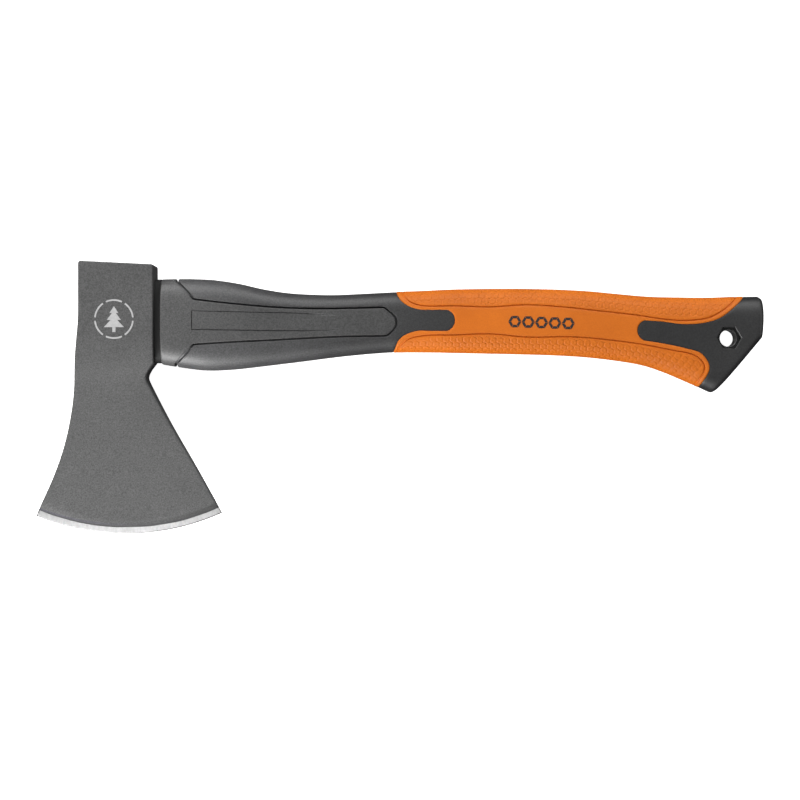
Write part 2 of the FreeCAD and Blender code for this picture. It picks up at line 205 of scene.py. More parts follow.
def inside(points, loop):
    """Which points lie inside a closed loop."""
    x, y = points[:, 0], points[:, 1]
    hit = np.zeros(len(points), bool)
    for (ax, ay), (bx, by) in zip(loop, np.roll(loop, -1, axis=0)):
        if ay == by:
            continue
        crosses = (ay > y) != (by > y)
        hit ^= crosses & (x < (bx - ax) * (y - ay) / (by - ay) + ax)
    return hit


class Plan:
    """A flat drawing of points and lines that is triangulated with every line kept."""

    def __init__(self):
        self.points = np.empty((0, 2))
        self.lines = []
        self.borders = []

    def add(self, points):
        start = len(self.points)
        self.points = np.vstack([self.points, np.asarray(points, float).reshape(-1, 2)])
        return np.arange(start, len(self.points))

    def run(self, points, closed=False):
        index = self.add(points)
        ends = list(zip(index, index[1:]))
        if closed:
            ends.append((index[-1], index[0]))
            self.borders.append(closed_run(points))
        self.lines += ends
        return index

    def triangles(self, keep):
        """(points, triangles): keep(middles) says which triangles belong.

        Slivers that lie along a border are dropped: they come from rounding alone."""
        made = geometry.delaunay_2d_cdt([Vector(p) for p in self.points.tolist()],
                                        [(int(a), int(b)) for a, b in self.lines], [], 0, 1e-5)
        points = np.array([v[:] for v in made[0]])
        faces = np.array([f[:] for f in made[2]], int)
        faces = faces[keep(points[faces].mean(1))]
        a, b, c = (points[faces[:, k]] for k in range(3))
        area = np.abs((b - a)[:, 0] * (c - a)[:, 1] - (b - a)[:, 1] * (c - a)[:, 0])
        longest = np.max([np.linalg.norm(p - q, axis=1) for p, q in ((a, b), (b, c), (c, a))], 0)
        thin = np.nonzero(area < SLIVER * longest)[0]
        middles = points[faces[thin]].mean(1)
        gap = np.min([to_run(middles, border)[0] for border in self.borders], 0)
        return points, np.delete(faces, thin[gap < SLIVER], axis=0)


def lattice(loop, spacing):
    """Points of a triangular lattice that lie inside a closed loop."""
    low, high = loop.min(0), loop.max(0)
    row_step = spacing * math.sqrt(0.75)
    rows = np.arange(math.floor(low[1] / row_step), math.ceil(high[1] / row_step) + 1)
    columns = np.arange(math.floor(low[0] / spacing), math.ceil(high[0] / spacing) + 1)
    out = np.vstack([np.stack([spacing * (columns + 0.5 * (r % 2)),
                               np.full(len(columns), row_step * r)], 1) for r in rows])
    return out[inside(out, loop)]


def filled(loop, spacing, clearance):
    """(points, triangles) over a flat loop, its free points kept clear of its border."""
    plan = Plan()
    plan.run(loop, closed=True)
    free = lattice(loop, spacing)
    plan.add(free[to_run(free, closed_run(loop))[0] > clearance])
    return plan.triangles(lambda middles: inside(middles, loop))


# ============================== meshes ======================================================
class Solid:
    """Collects faces from several patches and welds them into one object."""

    def __init__(self):
        self.points = []
        self.faces = []
        self.count = 0

    def patch(self, points, faces):
        points = np.asarray(points, float).reshape(-1, 3)
        self.faces += [[int(i) + self.count for i in f] for f in faces]
        self.points.append(points)
        self.count += len(points)

    def strip(self, rows, closed=False):
        """Quads between successive rows, each an array of as many points."""
        rows = [np.asarray(r, float) for r in rows]
        n = len(rows[0])
        faces = []
        for r in range(len(rows) - 1):
            for i in range(n if closed else n - 1):
                j = (i + 1) % n
                faces.append((r * n + i, r * n + j, (r + 1) * n + j, (r + 1) * n + i))
        self.patch(np.vstack(rows), faces)

    def mirrored(self):
        """Adds the same again on the other side of the middle plane."""
        points = np.vstack(self.points)
        other = points * [1, 1, -1]
        faces = list(self.faces)
        self.patch(other, [f[::-1] for f in faces])

    def make(self, name, material, slot, smooth_angle=38.0):
        points = (np.vstack(self.points) + TO_FRAME) * MM
        mesh = bpy.data.meshes.new(name)
        bm = bmesh.new()
        verts = [bm.verts.new(p) for p in points.tolist()]
        for face in self.faces:
            if len(set(face)) == len(face):
                try:
                    bm.faces.new([verts[i] for i in face])
                except ValueError:
                    pass
        bmesh.ops.remove_doubles(bm, verts=bm.verts, dist=WELD * MM)
        bmesh.ops.dissolve_degenerate(bm, edges=bm.edges, dist=WELD * MM)
        loose = [v for v in bm.verts if not v.link_faces]
        bmesh.ops.delete(bm, geom=loose, context="VERTS")
        bmesh.ops.recalc_face_normals(bm, faces=bm.faces)
        open_edges = sum(1 for e in bm.edges if len(e.link_faces) != 2)
        print(f"{name}: {len(bm.faces)} faces, {open_edges} open or branching edges")
        for face in bm.faces:
            face.smooth = True
        sharp = math.radians(smooth_angle)
        for edge in bm.edges:
            if len(edge.link_faces) == 2:
                edge.smooth = edge.calc_face_angle(0.0) < sharp
        bm.to_mesh(mesh)
        bm.free()
        obj = bpy.data.objects.new(name, mesh)
        bpy.context.collection.objects.link(obj)
        mesh.materials.append(material)
        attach(obj, "root")
        return obj


# ============================== the handle's skin ===========================================
class Skin:
    """The handle's outer surface, by x and by v, the distance round from the top seam."""

    STEP = 1.0
    ROUND = 257

    def __init__(self):
        self.x = np.arange(0.0, HANDLE_END_X + self.STEP, self.STEP)
        top, bottom = hermite(HANDLE_TOP, self.x), hermite(HANDLE_BOTTOM, self.x)
        half_z = hermite(HANDLE_HALF_Z, self.x)
        angle = np.linspace(0, math.pi, 4001)
        c, s = np.cos(angle), np.sin(angle)
        shape = (len(self.x), self.ROUND)
        self.place = np.zeros(shape + (3,))
        self.length = np.zeros(len(self.x))
        for i, x in enumerate(self.x):
            half_y, mid = (top[i] - bottom[i]) / 2, (top[i] + bottom[i]) / 2
            reach = ((np.abs(c) / half_y) ** SECTION_POWER
                     + (np.abs(s) / half_z[i]) ** SECTION_POWER) ** (-1 / SECTION_POWER)
            y, z = mid + reach * c, reach * s
            along = np.concatenate([[0], np.cumsum(np.hypot(np.diff(y), np.diff(z)))])
            even = np.linspace(0, along[-1], self.ROUND)
            self.length[i] = along[-1]
            self.place[i, :, 0] = x
            self.place[i, :, 1] = np.interp(even, along, y)
            self.place[i, :, 2] = np.interp(even, along, z)
        self.place[:, [0, -1], 2] = 0.0
        along_x = np.gradient(self.place, self.STEP, axis=0)
        round_v = np.gradient(self.place, axis=1)
        normal = np.cross(round_v, along_x)
        normal[:, [0, -1], 2] = 0.0
        normal /= np.linalg.norm(normal, axis=2)[:, :, None]
        if normal[20, 0, 1] < 0:
            normal = -normal
        self.normal = normal

    def round_length(self, x):
        return np.interp(x, self.x, self.length)

    def _blend(self, grid, x, share):
        i = np.clip(x / self.STEP, 0, len(self.x) - 1.001)
        k = np.clip(share, 0, 1) * (self.ROUND - 1)
        k = np.clip(k, 0, self.ROUND - 1.0001)
        i0, k0 = i.astype(int), k.astype(int)
        fi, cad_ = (i - i0)[:, None], (k - k0)[:, None]
        return ((1 - fi) * ((1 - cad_) * grid[i0, k0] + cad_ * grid[i0, k0 + 1])
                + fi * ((1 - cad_) * grid[i0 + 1, k0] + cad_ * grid[i0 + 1, k0 + 1]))

    def at(self, xv, height=0.0):
        """Places for rows of (x, v), raised off the skin by height."""
        xv = np.asarray(xv, float)
        share = xv[:, 1] / self.round_length(xv[:, 0])
        place = self._blend(self.place, xv[:, 0], share)
        normal = self.normals(xv)
        lifted = place + normal * np.reshape(height * np.ones(len(xv)), (-1, 1))
        lifted[self._on_seam(share), 2] = 0.0
        return lifted

    def normals(self, xv):
        share = xv[:, 1] / self.round_length(xv[:, 0])
        normal = self._blend(self.normal, xv[:, 0], share)
        normal[self._on_seam(share), 2] = 0.0
        return normal / np.linalg.norm(normal, axis=1)[:, None]

    @staticmethod
    def _on_seam(share):
        return (share < 1e-4) | (share > 1 - 1e-4)

    def from_side(self, xy):
        """(x, v) of the points that are seen at (x, y) from the side."""
        xy = np.asarray(xy, float)
        out = np.empty_like(xy)
        share = np.linspace(0, 1, self.ROUND)
        for n, (x, y) in enumerate(xy):
            row = self._blend(self.place, np.full(self.ROUND, x), share)[:, 1]
            out[n] = x, np.interp(-y, -row, share) * self.round_length(x)
        return out


skin = Skin()


# ============================== lines on the skin ===========================================
def side_run(*runs):
    """Runs drawn in the side view, put end to end and laid on the skin."""
    return skin.from_side(joined(*runs))


def seam(x0, x1, foot=False):
    """Run along the top seam, or the bottom one, with a point at every whole millimetre."""
    whole = np.arange(math.floor(min(x0, x1)) + 1, math.ceil(max(x0, x1)))
    xs = np.unique(np.concatenate([[min(x0, x1)], whole, [max(x0, x1)]]))
    if x1 < x0:
        xs = xs[::-1]
    return np.stack([xs, skin.round_length(xs) if foot else np.zeros(len(xs))], 1)


def moved_in(run, distance):
    """The run moved sideways on the skin, ends kept on the seams.

    A run from the top seam to the bottom one moves towards the pommel."""
    out = run - side_normals(run) * distance
    out[:, 1] = np.clip(out[:, 1], 0, skin.round_length(out[:, 0]))
    for k in (0, -1):
        out[k, 1] = 0.0 if run[k, 1] < 1.0 else skin.round_length(out[k, 0])
    return out


def rounded(distance, radius):
    """Drop of a surface this far from an edge that is rounded to the radius."""
    inner = np.clip(radius - np.maximum(distance, 0.01), 0, radius)
    return radius - np.sqrt(radius**2 - inner**2)


def collar_line():
    """Border of the grey sheath: down the collar, round the long panel's tip and back."""
    top, foot = COLLAR_TOP, COLLAR_FOOT
    return side_run(respaced([(top[0], OFF_HANDLE), top], 0.5), straight(top, RIB_UPPER[0]),
                    curve(RIB_UPPER), straight(RIB_UPPER[-1], RIB_TIP[0]), curve(RIB_TIP),
                    straight(RIB_TIP[-1], RIB_LOWER[0]), curve(RIB_LOWER),
                    straight(RIB_LOWER[-1], foot),
                    respaced([foot, (foot[0], -OFF_HANDLE)], 0.5))


def without_repeats(run):
    """The run without points that fall on the one before, as where it runs off the side view."""
    kept = [run[0]]
    for point in run[1:]:
        if np.linalg.norm(point - kept[-1]) > 0.05:
            kept.append(point)
    return np.array(kept)


def on_both_seams(run, softening=0):
    """The run from the top seam to the bottom one, evenly spaced, its kinks a little softened."""
    limit = skin.round_length(run[:, 0])
    first = np.nonzero(run[:, 1] > 0.02)[0][0] - 1
    last = np.nonzero(run[:, 1] < limit - 0.02)[0][-1] + 1
    run = run[max(first, 0):last + 1].copy()
    run[0, 1] = 0.0
    run[-1, 1] = skin.round_length(run[-1, 0])
    run = respaced(run, 0.5)
    for _ in range(softening):
        run[1:-1] = (run[:-2] + 2 * run[1:-1] + run[2:]) / 4
    return run


COLLAR_LINE = on_both_seams(collar_line(), 4)
FRONT_LINE = on_both_seams(side_run(
    curve(FRONT_UPPER), arc_through(FRONT_UPPER[-1], FRONT_TIP, FRONT_LOWER[0]),
    curve(FRONT_LOWER)))
REAR_LINE = on_both_seams(side_run(
    curve(REAR_UPPER)[::-1], arc_through(REAR_UPPER[0], REAR_TIP, REAR_LOWER[0]),
    curve(REAR_LOWER)))
UPPER_BAND_LINE = without_repeats(side_run(curve(BAND_UPPER)))
LOWER_BAND_LINE = without_repeats(side_run(curve(BAND_LOWER)))


def grip_loop():
    """Outline of the soft grip's front half on the skin."""
    return joined(FRONT_LINE, seam(FRONT_LINE[-1, 0], REAR_LINE[-1, 0], foot=True),
                  REAR_LINE[::-1], seam(REAR_LINE[0, 0], FRONT_LINE[0, 0]))


def with_ends(loop, lines):
    """The closed loop with a point of its own at each end of a line that meets it."""
    loop = loop[:-1] if np.linalg.norm(loop[0] - loop[-1]) < 1e-6 else loop
    for line in lines:
        for k in (0, -1):
            gap, place = to_run(line[k][None], closed_run(loop))
            if gap[0] > 0.02:
                continue
            nearest = loop[round(place[0]) % len(loop)]
            if np.linalg.norm(nearest - line[k]) < 0.03:
                line[k] = nearest
            else:
                loop = np.insert(loop, int(place[0]) + 1, line[k], axis=0)
    return loop


LINE_CLEARANCE = 0.55       # free points keep this share of their spacing from every line


def skin_sheet(loop, lines, spacing, height, holes=(), extra=None):
    """Triangles over a loop on the skin: (x, v) points, heights and faces.

    lines are runs that edges must follow; height gives the height of (x, v) points.
    extra is (points, joins), more points with pairs of them that edges must follow."""
    plan = Plan()
    loop = with_ends(loop, lines)
    plan.run(loop, closed=True)
    for hole in holes:
        plan.run(hole, closed=True)
    for line in lines:
        plan.run(line)
    if extra is not None:
        index = plan.add(extra[0])
        plan.lines += [(index[a], index[b]) for a, b in extra[1]]
    free = lattice(loop, spacing)
    near = spacing * LINE_CLEARANCE
    for line in [closed_run(loop)] + [closed_run(h) for h in holes] + list(lines):
        low, high = line.min(0) - near, line.max(0) + near
        maybe = ((free > low) & (free < high)).all(1)
        gap = np.full(len(free), 1e9)
        gap[maybe] = to_run(free[maybe], line)[0]
        free = free[gap > near]
    if extra is not None and len(extra[0]):
        free = free[clear_of(free, extra[0], spacing * 0.5)]
    plan.add(free)

    def keep(middles):
        belongs = inside(middles, loop)
        for hole in holes:
            belongs &= ~inside(middles, hole)
        return belongs

    xv, faces = plan.triangles(keep)
    return xv, height(xv), faces


def clear_of(points, others, distance):
    """Which points are further than distance from all the others."""
    cells = {}
    for q in others:
        cells.setdefault((int(q[0] // distance), int(q[1] // distance)), []).append(q)
    keep = np.ones(len(points), bool)
    for n, p in enumerate(points):
        cx, cy = int(p[0] // distance), int(p[1] // distance)
        for i in (cx - 1, cx, cx + 1):
            for j in (cy - 1, cy, cy + 1):
                for q in cells.get((i, j), ()):
                    if (p[0] - q[0]) ** 2 + (p[1] - q[1]) ** 2 < distance * distance:
                        keep[n] = False
    return keep


def lining(solid, loop, spacing, depth, holes=()):
    """The inner face of a moulding, all of it at one depth."""
    xv, _, faces = skin_sheet(loop, [], spacing, lambda p: np.zeros(len(p)), holes)
    solid.patch(skin.at(xv, depth), faces)


def wall(solid, run, heights):
    """Faces that go down from a run on the skin through the heights, each a number or an array."""
    solid.strip([skin.at(run, h) for h in heights])


# ============================== soft grip ===================================================
GRIP_PROUD = 0.2
GRIP_EDGE_ROUND = 0.6
GRIP_DEPTH = -1.3
GRIP_EDGE_LINES = (0.06, 0.2, 0.4, 0.65)
BAND_GROOVE = [(0.0, -0.6), (0.25, -0.55), (0.45, -0.08), (0.6, 0.0)]
CELL_PITCH = 3.32
CELL_ROW = CELL_PITCH * math.sqrt(0.75)
CELL_RINGS = [(1.0, -0.14), (0.86, 0.0), (0.52, 0.01), (0.34, -0.06)]
CELL_MARGIN = 0.8


def cell_features(region, from_foot):
    """Points, joins and centres of the honeycomb cells inside a region of the skin.

    Rows of cells are counted from the top seam, or from the bottom one, so that they meet their
    mirror image there."""
    lines, corners = [], []
    low, high = region.min(0), region.max(0)
    reach = high[1] - low[1]
    corner = CELL_PITCH / math.sqrt(3)
    centres = []
    for row in range(int(reach / CELL_ROW) + 2):
        offset = 0.5 * CELL_PITCH * (row % 2)
        for x in np.arange(low[0] - CELL_PITCH, high[0] + CELL_PITCH, CELL_PITCH):
            centres.append((x + offset, row * CELL_ROW))
    turn = [math.radians(30 + 60 * k) for k in range(7)]
    for cx, cv in centres:
        corners.append((cx, cv))
        for ratio, _ in CELL_RINGS:
            ring = [(cx + ratio * corner * math.cos(t), cv + ratio * corner * math.sin(t))
                    for t in turn]
            lines += list(zip(ring, ring[1:]))
    points, joins, found = [], [], {}

    def number(p):
        key = (round(p[0], 2), round(p[1], 2))
        if key not in found:
            found[key] = len(points)
            points.append(p)
        return found[key]

    for a, b in lines:
        if a[1] < -1e-6 and b[1] < -1e-6:
            continue
        if min(a[1], b[1]) < -1e-6:
            low_end, high_end = (a, b) if a[1] < b[1] else (b, a)
            t = -low_end[1] / (high_end[1] - low_end[1])
            a, b = (low_end[0] + t * (high_end[0] - low_end[0]), 0.0), high_end
        joins.append((number(a), number(b)))
    for c in corners:
        number(c)
    points, centres = np.array(points), np.array(centres)
    if from_foot:
        points[:, 1] = skin.round_length(points[:, 0]) - points[:, 1]
        centres[:, 1] = skin.round_length(centres[:, 0]) - centres[:, 1]
    return points, joins, centres


def only_clear(points, joins, region, keep_off):
    """The features that lie inside the region and off the runs in keep_off."""
    keep = inside(points, region) | on_seam(points)
    for run in keep_off:
        keep &= to_run(points, run)[0] > CELL_MARGIN
    keep &= (points[:, 0] > region[:, 0].min()) & (points[:, 0] < region[:, 0].max())
    number = np.cumsum(keep) - 1
    kept_joins = sorted({(number[a], number[b]) for a, b in joins
                         if keep[a] and keep[b] and a != b})
    return points[keep], kept_joins


def on_seam(points):
    return (points[:, 1] < 1e-3) | (points[:, 1] > skin.round_length(points[:, 0]) - 1e-3)


def cell_height(xv, centres):
    """Height of the honeycomb at points, from the nearest cell's centre."""
    corner = CELL_PITCH / math.sqrt(3)
    apothem = CELL_PITCH / 2
    ratio = np.full(len(xv), 9.0)
    for cx, cv in centres:
        near = np.abs(xv[:, 0] - cx) + np.abs(xv[:, 1] - cv) < 2.2 * corner
        if not near.any():
            continue
        d = xv[near] - [cx, cv]
        r = np.zeros(len(d))
        for k in range(3):
            t = math.radians(60 * k)
            r = np.maximum(r, np.abs(d[:, 0] * math.cos(t) + d[:, 1] * math.sin(t)) / apothem)
        ratio[near] = np.minimum(ratio[near], r)
    rings = [(0.0, CELL_RINGS[-1][1])] + CELL_RINGS[::-1]
    return np.interp(ratio, [r for r, _ in rings], [h for _, h in rings])


def band_region(line, foot):
    """Loop round a textured band: its line and the seam beyond it."""
    edge = without_repeats(line)
    return joined(edge, seam(edge[-1, 0], edge[0, 0], foot))


def soft_grip(material):
    loop = grip_loop()
    bands = []
    for line, foot in ((UPPER_BAND_LINE, False), (LOWER_BAND_LINE, True)):
        line = line.copy()
        for k in (0, -1):
            line[k, 1] = skin.round_length(line[k, 0]) if foot else 0.0
        region = band_region(line, foot)
        points, joins, centres = cell_features(region, foot)
        points, joins = only_clear(points, joins, region, [line])
        bands.append((line, region, points, joins, centres))

    def height(xv):
        out = np.full(len(xv), GRIP_PROUD)
        for line, region, _, _, centres in bands:
            gap, _ = to_run(xv, line)
            within = inside(xv, region) | (on_seam(xv) & (xv[:, 0] > line[:, 0].min())
                                           & (xv[:, 0] < line[:, 0].max())
                                           & ((xv[:, 1] < 5) == (line[0, 1] < 5)))
            fade = np.clip((gap - 0.6) / 0.4, 0, 1) * within
            out += fade * cell_height(xv, centres)
            from_seam = np.minimum(xv[:, 1], skin.round_length(xv[:, 0]) - xv[:, 1])
            out += np.interp(gap, *np.transpose(BAND_GROOVE)) * np.clip(from_seam / 5.0, 0.1, 1)
        edge = np.minimum(to_run(xv, FRONT_LINE)[0], to_run(xv, REAR_LINE)[0])
        return out - rounded(edge, GRIP_EDGE_ROUND)

    lines = []
    for line, sign in ((FRONT_LINE, 1), (REAR_LINE, -1)):
        lines += [moved_in(line, sign * d) for d in GRIP_EDGE_LINES]
    for line, *_ in bands:
        lines += [line] + [moved_in(line, s * d) for d, _ in BAND_GROOVE[1:] for s in (1, -1)]
    points = np.vstack([b[2] for b in bands])
    shift = len(bands[0][2])
    joins = bands[0][3] + [(a + shift, b + shift) for a, b in bands[1][3]]
    grip = Solid()
    xv, heights, faces = skin_sheet(loop, lines, 1.0, height, extra=(points, joins))
    grip.patch(skin.at(xv, heights), faces)
    lining(grip, loop, 3.0, GRIP_DEPTH)
    for line in (FRONT_LINE, REAR_LINE):
        wall(grip, line, [height(line), GRIP_DEPTH])
    grip.mirrored()
    return grip.make("soft_grip_rubber", material, "grip_orange")


# ============================== dark shell ==================================================
GROOVE_WIDTH, GROOVE_DEPTH = 0.9, 2.4
DIAGONAL_WIDTH, DIAGONAL_DEPTH = 1.25, 1.5
DIAGONAL_END = [18.8, 20.4]
GROOVE_EDGE = [(0.0, -0.33), (0.07, -0.19), (0.17, -0.09), (0.32, -0.03), (0.5, 0.0)]
SHELL_INSIDE = -4.0
SEAT_DEPTH = -1.5
END_FILLET = 2.4
HEX_CHAMFER = 0.35


def end_line():
    """Where the rounding of the pommel's end begins, on the skin, and the way the end faces."""
    corner = np.array(END_CORNER)
    slope = np.array([-1.0, -SLANT_SLOPE]) / math.hypot(1.0, SLANT_SLOPE)
    face = arc_through((END_TOP[0], 16.0), END_BULGE, END_CORNER, 0.6)
    run = joined(face[face[:, 1] > corner[1] + 0.8],
                 arc_through(corner + [0.05, 0.8], corner + [-0.12, 0.05], corner + slope * 0.8, 0.3),
                 respaced([corner + slope * 0.8, corner + slope * 42.0], 0.6))
    inward = -side_normals(run)
    for _ in range(3):
        inward[1:-1] = (inward[:-2] + inward[1:-1] + inward[2:]) / 3
    inward /= np.linalg.norm(inward, axis=1)[:, None]
    moved = run + inward * END_FILLET
    top, foot = hermite(HANDLE_TOP, moved[:, 0]), hermite(HANDLE_BOTTOM, moved[:, 0])
    on = (moved[:, 1] < top) & (moved[:, 1] > foot)
    run = skin.from_side(moved[on])
    run[0, 1] = 0.0
    run[-1, 1] = skin.round_length(run[-1, 0])
    return run, -inward[on]


def hexagon(across_flats):
    """Hexagon round the hanging hole, on the skin."""
    corner = across_flats / math.sqrt(3)
    corners = [(HOLE[0] + corner * math.cos(math.radians(60 * k)),
                HOLE[1] + corner * math.sin(math.radians(60 * k))) for k in range(7)]
    sides = [straight(a, b, 0.5) for a, b in zip(corners, corners[1:])]
    return skin.from_side(joined(*sides)[:-1])


def groove_width(xv):
    """The groove is wide and shallow on the collar's diagonals, narrow and deep behind them."""
    return np.interp(xv[:, 0], DIAGONAL_END, [DIAGONAL_WIDTH, GROOVE_WIDTH])


def outer_shell(material):
    end, faces_out = end_line()
    loop = joined(COLLAR_LINE, seam(COLLAR_LINE[-1, 0], end[-1, 0], foot=True), end[::-1],
                  seam(end[0, 0], COLLAR_LINE[0, 0]))
    grip = grip_loop()
    hex_out, hex_in = hexagon(HEX_ACROSS_FLATS + 2 * HEX_CHAMFER), hexagon(HEX_ACROSS_FLATS)

    def height(xv):
        from_groove = to_run(xv, COLLAR_LINE)[0] - groove_width(xv)
        floor = -np.interp(xv[:, 0], DIAGONAL_END, [DIAGONAL_DEPTH, GROOVE_DEPTH])
        out = np.interp(from_groove, *np.transpose(GROOVE_EDGE))
        out = np.where(from_groove < -0.03, floor, out)
        edge = np.minimum(to_run(xv, FRONT_LINE)[0], to_run(xv, REAR_LINE)[0])
        under = inside(xv, grip) | (on_seam(xv) & (xv[:, 0] > FRONT_LINE[0, 0])
                                    & (xv[:, 0] < REAR_LINE[0, 0]) & (xv[:, 1] < 5))
        under |= (on_seam(xv) & (xv[:, 0] > FRONT_LINE[-1, 0]) & (xv[:, 0] < REAR_LINE[-1, 0])
                  & (xv[:, 1] > 5))
        out = np.where(under & (edge > 0.08), SEAT_DEPTH, out - rounded(edge, 0.3) * ~under)
        return np.where(edge < 0.02, -0.3, out)

    lines = [moved_in(COLLAR_LINE, groove_width(COLLAR_LINE)[:, None] + d)
             for d in [-0.06] + [d for d, _ in GROOVE_EDGE]]
    for line, sign in ((FRONT_LINE, 1), (REAR_LINE, -1)):
        lines += [line] + [moved_in(line, sign * d) for d in (0.12, -0.12, -0.35)]
    lines.append(closed_run(hex_out))
    shell = Solid()
    xv, heights, faces = skin_sheet(loop, lines, 1.25, height, holes=[hex_in])
    chamfered = to_run(xv, closed_run(hex_in))[0] < 0.02
    heights = np.where(chamfered, -HEX_CHAMFER, heights)
    shell.patch(skin.at(xv, heights), faces)
    lining(shell, loop, 3.0, SHELL_INSIDE, [hex_in])
    wall(shell, COLLAR_LINE, [height(COLLAR_LINE), SHELL_INSIDE])
    wall(shell, closed_run(hex_in), [-HEX_CHAMFER, -1.5, -2.7, SHELL_INSIDE])
    start, side = skin.at(end), skin.normals(end)
    out = np.hstack([faces_out, np.zeros((len(faces_out), 1))])
    centre = start - END_FILLET * side
    rings = [start]
    for share in np.linspace(0, 1, 7)[1:]:
        angle = np.arccos(np.clip((side * out).sum(1), -1, 1))[:, None]
        turned = (np.sin((1 - share) * angle) * side + np.sin(share * angle) * out) / np.sin(angle)
        rings.append(centre + END_FILLET * turned)
    for ring in rings:
        ring[[0, -1], 2] = 0.0
    shell.strip(rings)
    last = rings[-1]
    shell.strip([last * [1, 1, f] for f in np.linspace(1, 0, 5)])
    inner_end = skin.at(end, SHELL_INSIDE)
    shell.strip([inner_end * [1, 1, f] for f in (1, 0)])
    shell.mirrored()
    return shell.make("outer_shell_moulding", material, "shell_dark")


# ============================== grey sheath =================================================
PANEL_UPPER = [(19.3, 5.0), (46.0, 4.4), (73.0, 3.8), (101.0, 2.0)]
PANEL_LOWER = [(101.0, -4.4), (73.0, -5.0), (46.0, -4.8), (19.3, -4.4)]
PANEL_DEPTH = 0.2
PANEL_LINE, PANEL_LINE_DEPTH = 0.32, 0.5
PANEL_FADE = 30.0           # length over which the panel's line runs out
FRONT_POINTS = 60
SHEATH_INSIDE = -4.5
COLLAR_EDGE_ROUND = 0.8


def inner_sheath(material):
    front = np.stack([np.full(FRONT_POINTS, COLLAR_X), np.linspace(1, 0, FRONT_POINTS)], 1)
    front[:, 1] *= skin.round_length(COLLAR_X)
    loop = joined(COLLAR_LINE[::-1], seam(COLLAR_LINE[0, 0], COLLAR_X), front[::-1],
                  seam(COLLAR_X, COLLAR_LINE[-1, 0], foot=True))
    panel = side_run(curve(PANEL_UPPER), straight(PANEL_UPPER[-1], PANEL_LOWER[0]),
                     curve(PANEL_LOWER), straight(PANEL_LOWER[-1], PANEL_UPPER[0]))[:-1]
    panel_closed = closed_run(panel)

    def height(xv):
        out = -rounded(to_run(xv, COLLAR_LINE)[0], 0.35)
        out -= rounded(xv[:, 0] - COLLAR_X, COLLAR_EDGE_ROUND)
        fade = np.clip((PANEL_UPPER[-1][0] - xv[:, 0]) / PANEL_FADE, 0, 1)
        gap = to_run(xv, panel_closed)[0] * np.where(inside(xv, panel), 1, -1)
        step = PANEL_DEPTH * np.clip(gap / PANEL_LINE + 0.5, 0, 1)
        line = PANEL_LINE_DEPTH * np.clip(1 - np.abs(gap) / PANEL_LINE, 0, 1)
        return out - fade * (step + line)

    lines = [moved_in(COLLAR_LINE, -d) for d in (0.06, 0.18, 0.4)]
    lines += [np.stack([np.full(FRONT_POINTS, COLLAR_X + d), front[:, 1]], 1)
              for d in (0.1, 0.3, 0.6, 1.0)]
    for line in lines[-4:]:
        line[0, 1] = skin.round_length(line[0, 0])
    normal = side_normals(panel, closed=True)
    lines += [closed_run(panel + side * PANEL_LINE * normal) for side in (-1, 0, 1)]
    sheath = Solid()
    xv, heights, faces = skin_sheet(loop, lines, 1.1, height)
    sheath.patch(skin.at(xv, heights), faces)
    lining(sheath, loop, 2.5, SHEATH_INSIDE)
    for line in (COLLAR_LINE, front):
        wall(sheath, line, [height(line), SHEATH_INSIDE])
    sheath.mirrored()
    return sheath.make("inner_sheath_moulding", material, "sheath_grey")


# ============================== forged head ==================================================
HEAD_LENGTH = 37.1
POLL_Y, POLL_RISE = 28.0, 1.8
EDGE_RADIUS = 117.7
EDGE_CENTRE = np.array([-14.9, 11.7])
TOE_X, HEEL_X = -59.6, 33.4
NOTCH = [(0.0, -20.8), (-2.9, -25.0), (-3.9, -28.2), (-2.4, -32.0)]
BEARD_MIDDLE = [(7.3, -50.2), (21.3, -74.2)]
TOP_FACE_CURVE = [(-37.2, 0.8), (-38.9, -18.2), (-40.2, -38.2), (-44.0, -58.2), (-49.2, -74.2)]
CHEEK = [(-110.0, 1.4), (-84.0, 3.0), (-66.0, 4.3), (-48.0, 5.9), (-32.0, 8.2), (-20.0, 11.2),
         (-9.0, 12.95), (-2.0, 13.0), (40.0, 13.0)]
GRIND_WIDTH, GRIND_ANGLE, FACET_ANGLE, EDGE_FLAT = 3.2, 20.0, 14.0, 0.05
HONED_WIDTH, HONED_ANGLE = 0.35, 42.0
RIM_ROUND = 0.7
EYE_HALF_Y, EYE_HALF_Z, EYE_FLARE = 18.6, 8.4, 0.9
EYE_CHAMFER = 0.6
RIM_SPACING = 1.1
POLL_CORNER_UNDER, POLL_CORNER_TOP = 0.8, 1.2
GRIND_STEP, GRIND_STEP_AT = 0.28, 68.0      # its height, and its place along the edge from the heel
UNDER_REACH = 27.0                          # the eye's side of the underside is this far each way
TOP_LIMITS = (-36.0, -25.0, 28.7)           # the eye's side of the top face: x below, y between
EYE_POWER = 2.6
AT_HONED = EDGE_FLAT + HONED_WIDTH * math.tan(math.radians(HONED_ANGLE))
AT_GRIND = AT_HONED + (GRIND_WIDTH - HONED_WIDTH) * math.tan(math.radians(GRIND_ANGLE))


def edge_point(x, radius=EDGE_RADIUS):
    return np.array([x, EDGE_CENTRE[1] - math.sqrt(radius**2 - (x - EDGE_CENTRE[0]) ** 2)])


def from_edge(xy):
    """Distance from the cutting edge's arc, inwards."""
    return EDGE_RADIUS - np.linalg.norm(np.asarray(xy) - EDGE_CENTRE, axis=1)


def edge_angle(point):
    """Direction of a point from the centre of the cutting edge's arc."""
    return math.atan2(*(point - EDGE_CENTRE)[::-1])


